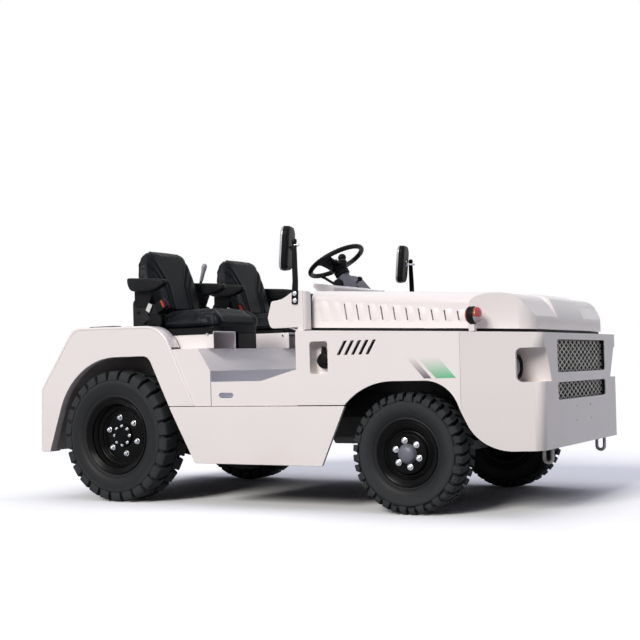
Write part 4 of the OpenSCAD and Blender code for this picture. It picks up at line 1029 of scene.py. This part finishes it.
class TRACTOR_OT_hood_pressings(bpy.types.Operator):
    """Makes the pressed louvres and the raised nose panel of the hood"""
    bl_idname = "tractor.hood_pressings"
    bl_label = "Hood pressings"

    def execute(self, context):
        raised = context.scene.tractor_sizes.louvre / MM
        skin = surface("hood")
        bm = bmesh.new()
        first, step, count, lean, slit, over_slit = 395, 62, 12, 0.17, 6, 2
        # distance ahead of the slit and place up it, each with the share of the full height there
        fall = ((0.5, -0.1), (1.2, 0.75), (4, 0.95), (12, 1.0), (20, 0.8), (29, 0.3), (37, -0.1))
        rise = ((-0.16, -0.1), (-0.02, 0.5), (0.16, 0.95), (0.5, 1), (0.78, 0.9), (0.98, 0.4), (1.16, -0.1))
        for _, side in SIDES:
            for i in range(count):
                foot = first + step * i
                # both ends come down towards the nose
                low, high = 894 - 0.046 * (foot - 335), 979 - 0.104 * (foot - 335)
                rows = []
                for ahead, share in fall:
                    # the first ones are pressed over their slits
                    if i < over_slit and ahead < 2:
                        ahead, share = 7 * ahead - 19, share / 3
                    row = []
                    for along, grow in rise:
                        z = low + along * (high - low)
                        x = foot + slit + ahead - lean * (z - low)
                        row.append((Vector((x, side * 900, z)), raised * min(share, grow, share * grow)))
                    rows.append(row)
                pressing(bm, skin, rows, -side * Y)
        piece("hood_louvres", bm, "sprayed_enamel", "hood", sharp=50)
        bm = bmesh.new()
        down = Vector((-1, 0, -1)).normalized()
        # places up the nose and how far the panel stands out there, and places across with the share of that
        up_nose = ((1388, 862, -0.8), (1385, 868, 1.2), (1362, 905, 9), (1332, 941, 17.5), (1327, 946, 18),
                   (1321, 950, 17), (1285, 968, 10), (1240, 978, 4), (1190, 983, -0.8))
        across = ((-202, 0), (-200, 0.2), (-191, 0.94), (-184, 1), (-60, 1), (60, 1), (184, 1), (191, 0.94),
                  (200, 0.2), (202, 0))
        rows = [[(Vector((x, y, z)) - down * 200, height * share - (0.8 if share == 0 else 0))
                 for y, share in across] for x, z, height in up_nose]
        pressing(bm, skin, rows, down)
        piece("hood_nose_panel", bm, "sprayed_enamel", "hood", sharp=28)
        return {"FINISHED"}


class TRACTOR_OT_stripes(bpy.types.Operator):
    """Lays the two printed stripes on each side of the cowl"""
    bl_idname = "tractor.stripes"
    bl_label = "Stripes"

    def execute(self, context):
        thick, skin, low, high = 0.5, 720, 609, 707
        # name, rear and front edge at the foot, rear and front edge at the top
        for name, foot, top in (("green", (1001, 1095), (908, 1009)), ("grey", (944, 980), (855, 891))):
            bm = bmesh.new()
            shape = [(foot[0], low), (foot[1], low), (top[1], high), (top[0], high)]
            for _, side in SIDES:
                slab(bm, shape, (0, side * (skin + 0.05), 0), X, Z, -side * thick)
            piece(f"stripe_{name}", bm, f"film_{name}")
        return {"FINISHED"}


class TRACTOR_OT_tow_loops(bpy.types.Operator):
    """Bends the two round bar loops under the front face"""
    bl_idname = "tractor.tow_loops"
    bl_label = "Tow loops"

    def execute(self, context):
        bar, bend, middle, low, straight, top, out = 8, 19, 1386.7, 242, 300, 356, 395
        bm = bmesh.new()
        for _, side in SIDES:
            arc = [(middle - bend * math.cos(t), low - bend * math.sin(t)) for t in
                   (k * math.pi / 16 for k in range(17))]
            line = ([(middle - bend, top), (middle - bend, straight)] + arc
                    + [(middle + bend, straight), (middle + bend, top)])
            tube(bm, [Vector((x, side * out, z)) for x, z in line], bar, 20, up=Y.copy())
        piece("tow_loops_look", bm, "forged_steel", sharp=60, stands_for=("tow_loops",))
        return {"FINISHED"}


class TRACTOR_OT_controls(bpy.types.Operator):
    """Makes the hitch lever, the switches on the dash, the pedal pads and the filler cap"""
    bl_idname = "tractor.controls"
    bl_label = "Controls"

    def execute(self, context):
        black, grip, bright = (bmesh.new() for _ in range(3))
        # hitch lever: bellows boot on its base plate, black stem and grey tapered grip
        lean = math.radians(17)
        low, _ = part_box("hand_lever")
        base = Vector((low[0] / MM + 43, 0, low[2] / MM + 30))
        up = Vector((math.sin(lean), 0, math.cos(lean)))
        slab(black, rounded(-43, -35, 22, 35, 8), base - Z * 30, X, Y, 30)
        boot = [(-6, 0), (-6, 30)]
        for k in range(5):
            boot += [(4 + 12 * k, 28 - 3.5 * k), (10 + 12 * k, 22 - 3 * k)]
        lathe(black, boot + [(66, 9.5), (66, 0)], base, up, 32)
        lathe(black, [(0, 0), (0, 8), (262, 8), (262, 0)], base, up, 24)
        lathe(grip, [(256, 0), (256, 9), (262, 10.5), (300, 11), (318, 13), (334, 15), (346, 14), (353, 9),
                     (356, 0)], base, up, 32)
        # filler cap: ribbed skirt, raised grip bar and a lock cover
        cap = Vector((422, -656, 699))
        lathe(black, [(0, 0), (0, 36), (4, 37), (26, 36), (32, 33), (34, 28), (34, 0)], cap, -Y, 40)
        for spot in circle(cap, X, Z, 36, 20):
            tube(black, [spot - Y * 6, spot - Y * 28], 2.4, 8)
        slab(black, outline([(-30, -11, 9), (30, -11, 9), (24, 11, 9), (-24, 11, 9)]), cap - Y * 32, X, Z, 15)
        slab(black, outline([(-13, 26, 5), (13, 26, 5), (9, 66, 8), (-9, 66, 8)]), cap - Y * 20, X, Z, 12)
        # pedal pads with ribs, on the faces of the hung pedals
        low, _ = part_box("pedals")
        for y in (210, 340, 470):
            for k in range(7):
                slab(black, rounded(-32, 0, 32, 6, 2), (low[0] / MM - 2.6, y, 646 + 11 * k), Y, Z, 3)
        # rocker switches, and the key and lamp switches, on the sloped dash
        dash = surface("dash")
        for y in (-300, -262, -224, 60, 98, 136):
            point, normal = hit(dash, (-200, y, 975), X)
            u = normal.cross(Y).normalized()
            slab(black, rounded(-13, -20, 13, 20, 3), point - normal * 1, Y, u,
                 -5 if Y.cross(u).dot(normal) < 0 else 5)
            tube(bright, [point + normal * 4 - Y * 5 + u * 10, point + normal * 4 + Y * 5 + u * 10], 1.4, 8)
        for y in (-60, 0):
            point, normal = hit(dash, (-200, y, 975), X)
            lathe(black, [(-1, 0), (-1, 19), (5, 19), (8, 16), (8, 9), (11, 8), (11, 0)], point, normal, 32)
            lathe(bright, [(7, 9), (7, 13), (9, 13), (9, 9)], point, normal, 32, closed=True)
        # screws on the walls of the seat stands
        for y, side in ((-630, -1), (-430, 1), (90, -1), (290, 1)):
            for x in (-640, -270):
                lathe(bright, [(-1, 0), (-1, 9), (1.5, 9), (1.5, 6.5), (6, 6.5), (7, 5), (7, 0)],
                      (x, y, 846), side * Y, 6)
        piece("controls_black", black, "moulded_plastic", edge=0.8,
              stands_for=("hand_lever", "fuel_cap"))
        piece("hitch_lever_grip", grip, "grip_plastic", sharp=50)
        piece("small_fasteners", bright, "zinc_plate", edge=0.5)
        return {"FINISHED"}


class TRACTOR_OT_trim(bpy.types.Operator):
    """Makes the edge rolls and returns of the body, the hood gasket and the grille liners, black pieces that
    also stand as painted shade in the gap and the openings, the deck mats and the plug welds
    """
    bl_idname = "tractor.trim"
    bl_label = "Body trim"

    def execute(self, context):
        white, rubber, liner = (bmesh.new() for _ in range(3))
        fender = surface("rear_fenders")
        for _, side in SIDES:
            # rolled edge of the rear fender, set a little inside its outline
            line = outline([(-1304, 300, 0), (-1295, 586, 25), (-1066, 905, 100), (-486, 895, 160),
                            (-297, 494, 0)], 10)
            middle = Vector((-850, 600))
            line = [p - (p - middle).normalized() * 10 for p in line]
            tube(white, [Vector((a, side * 713, b)) for a, b in line], 9, 16, up=Y.copy())
            # return of the wing plate towards the hood
            outer = [(322, 709.5), (332, 707), (339, 701), (343, 692), (344.5, 680), (345, 660)]
            inner = [(342, 660), (341.5, 680), (340, 690), (336.5, 697.5), (331, 702), (322, 704)]
            bridge(white, [[Vector((x - grow, side * y, z)) for x, y in outer + inner]
                           for z, grow in ((846, 0), (1020, 0), (1026, 5))])
            # plug welds of the tow loops in the front face
            for z in (346, 300):
                lathe(white, [(-2, 0), (-2, 6), (0.4, 5.5), (1.2, 3), (1.4, 0)], (1430, side * 395, z), X, 16)
            # ribbed mat on the top of the fender
            top = hit(fender, (-880, side * 680, 1100), -Z)[0].z
            for x in range(-964, -803, 10):
                tube(rubber, [(x, side * 650, top + 1), (x, side * 702, top + 1)], 4.4, 8)
            slab(rubber, rounded(-970, 648, -798, 704, 5), (0, 0, top - 1), X, side * Y, 3 * side)
        # rubber gasket under the edge of the hood, black so that it also darkens the gap there as painted
        # shade
        plan = outline([(340, -628, 0), (1098, -628, 0), (1377, -498, 104), (1377, 498, 104), (1098, 628, 0),
                        (340, 628, 0)], 10)
        rings = []
        for i, point in enumerate(plan):
            along = (plan[min(i + 1, len(plan) - 1)] - plan[max(i - 1, 0)]).normalized()
            inside = point + Vector((-along.y, along.x)) * 7
            # the edge of the hood falls towards the nose
            low = 842 - 46 * (point.x - 292) / 1138
            high = low + 12.5
            corners = ((point, low), (inside, low), (inside, high), (point, high))
            rings.append([Vector((p.x, p.y, z)) for p, z in corners])
        bridge(rubber, rings)
        # black liners of the grille openings, painted shade that darkens their inner walls, and the rounded
        # corners in front of them
        half, corner = 361, 16
        fillet = [(corner - corner * math.sin(t), corner - corner * math.cos(t))
                  for t in (k * math.pi / 12 for k in range(7))]
        fillet = [(-1, -1), (corner, -1)] + fillet + [(-1, corner)]
        for low, high in ((620, 767), (498, 576)):
            bridge(liner, [[Vector((x, a, b)) for a, b in
                            rounded(inset - half, low + inset, half - inset, high - inset, corner)]
                           for x, inset in ((1406, 0.4), (1427, 0.4), (1427, 2.4), (1406, 2.4))], closed=True)
            for s in (-1, 1):
                for edge, up in ((low, 1), (high, -1)):
                    face = [Vector((1429.7, s * (half - a), edge + up * b)) for a, b in fillet]
                    bridge(white, [face, [p - X * 14 for p in face]])
        piece("body_trim", white, "sprayed_enamel", sharp=40)
        piece("rubber_trim_and_painted_shade", rubber, "seal_rubber", sharp=40)
        piece("grille_liners_painted_shade", liner, "powder_coat", sharp=40)
        return {"FINISHED"}


class TRACTOR_OT_stage(bpy.types.Operator):
    """Makes the floor, the light and the camera"""
    bl_idname = "tractor.stage"
    bl_label = "Stage"

    def execute(self, context):
        scene = context.scene
        scene.view_settings.view_transform = "Standard"
        mesh = bpy.data.meshes.new("floor")
        reach = 60.0
        mesh.from_pydata([(-reach, -reach, 0), (reach, -reach, 0), (reach, reach, 0), (-reach, reach, 0)],
                         [], [(0, 1, 2, 3)])
        floor = bpy.data.objects.new("floor", mesh)
        scene.collection.objects.link(floor)
        # studio paper: dull white to the camera and in reflections, with a lift that blends it into the
        # world, and greyer to the light that it throws back, as on a floor that ends near the object
        material, tree, shader, place = finish_named("studio_paper")
        seen = seen_by_eye(tree)
        # the lift starts at the edge of the object's footprint, so the paper under the object is left darker
        # as a painted shadow
        spot = add(tree, "ShaderNodeVectorMath", {0: place}, operation="ABSOLUTE").outputs[0]
        most, fade = 0.16, 0.45
        clear_of_painted_shadow = [between(tree, part_of(tree, spot, axis), 0.0, most, near, near + fade)
               for axis, near in (("X", 1.25), ("Y", 0.55))]
        lift = arith(tree, "MULTIPLY", seen, arith(tree, "MAXIMUM", *clear_of_painted_shadow))
        shade(tree, shader, Base_Color=mixed(tree, seen, linear("888888"), linear("FFFFFF")), Roughness=1.0,
              Specular_IOR_Level=0.0, Emission_Color=(1, 1, 1, 1), Emission_Strength=lift)
        mesh.materials.append(material)

        world = bpy.data.worlds.new("studio")
        world.use_nodes = True
        scene.world = world
        tree = world.node_tree
        seen = seen_by_eye(tree)
        # a cool softbox overhead, fading towards the walls
        height = part_of(tree, add(tree, "ShaderNodeTexCoord").outputs["Generated"], "Z")
        softbox = 1.1
        overhead = arith(tree, "MULTIPLY", arith(tree, "MULTIPLY", height, height), softbox)
        strength = add(tree, "ShaderNodeMix", {0: seen, 2: overhead, 3: 1.0}).outputs[0]
        background = tree.nodes["Background"]
        tree.links.new(mixed(tree, seen, linear("E8EBFF"), linear("FFFFFF")), background.inputs["Color"])
        tree.links.new(strength, background.inputs["Strength"])

        lamp = bpy.data.lights.new("key", "SUN")
        lamp.energy = 2.58
        lamp.color = (1.0, 0.975, 0.93)
        lamp.angle = math.radians(22)
        key = bpy.data.objects.new("key", lamp)
        key.rotation_mode = "QUATERNION"
        key.rotation_quaternion = Vector((0.07, 0.86, -0.50)).to_track_quat("-Z", "Y")
        scene.collection.objects.link(key)

        # camera fitted to the photograph: focal length and image centre in pixels of a 640 pixel frame
        focal, centre, size, sensor = 1185.4954, (301.3158, 346.0051), 640, 36
        yaw, pitch, roll = (math.radians(a) for a in (30.61, 0.944, -1.434))
        forward = Vector((-math.sin(yaw) * math.cos(pitch), math.cos(yaw) * math.cos(pitch), math.sin(pitch)))
        level = Vector((math.cos(yaw), math.sin(yaw), 0))
        upright = level.cross(forward)
        right = math.cos(roll) * level + math.sin(roll) * upright
        up = math.cos(roll) * upright - math.sin(roll) * level
        camera = bpy.data.objects.new("camera", bpy.data.cameras.new("camera"))
        camera.data.sensor_width = sensor
        camera.data.lens = focal / size * sensor
        camera.data.shift_x = (size / 2 - centre[0]) / size
        camera.data.shift_y = (centre[1] - size / 2) / size
        turn = Matrix((right, up, -forward)).transposed().to_4x4()
        camera.matrix_world = Matrix.Translation((3.1299, -5.4628, 0.6787)) @ turn
        scene.collection.objects.link(camera)
        scene.camera = camera
        return {"FINISHED"}


CLASSES = [TractorColours, TractorSizes, TRACTOR_OT_finishes, TRACTOR_OT_tyres, TRACTOR_OT_wheels,
           TRACTOR_OT_seats, TRACTOR_OT_seat_fittings, TRACTOR_OT_steering, TRACTOR_OT_mirrors,
           TRACTOR_OT_lamps, TRACTOR_OT_hood_pressings, TRACTOR_OT_stripes, TRACTOR_OT_tow_loops,
           TRACTOR_OT_controls, TRACTOR_OT_trim, TRACTOR_OT_stage]
PIECES = [c for c in CLASSES if issubclass(c, bpy.types.Operator)]


class TRACTOR_PT_panel(bpy.types.Panel):
    """Lists the settings and the steps that dress the tractor"""
    bl_label = "Tow tractor"
    bl_idname = "TRACTOR_PT_panel"
    bl_space_type = "VIEW_3D"
    bl_region_type = "UI"
    bl_category = "Tractor"

    def draw(self, context):
        for group in (context.scene.tractor_colours, context.scene.tractor_sizes):
            for name in group.bl_rna.properties.keys():
                if name not in {"rna_type", "name"}:
                    self.layout.prop(group, name)
        for step in PIECES:
            self.layout.operator(step.bl_idname)


def register():
    for cls in CLASSES + [TRACTOR_PT_panel]:
        bpy.utils.register_class(cls)
    bpy.types.Scene.tractor_colours = PointerProperty(type=TractorColours)
    bpy.types.Scene.tractor_sizes = PointerProperty(type=TractorSizes)


def unregister():
    del bpy.types.Scene.tractor_sizes
    del bpy.types.Scene.tractor_colours
    for cls in reversed(CLASSES + [TRACTOR_PT_panel]):
        bpy.utils.unregister_class(cls)


def main():
    register()
    for step in PIECES:
        group, name = step.bl_idname.split(".")
        getattr(getattr(bpy.ops, group), name)()


if __name__ == "__main__":
    main()
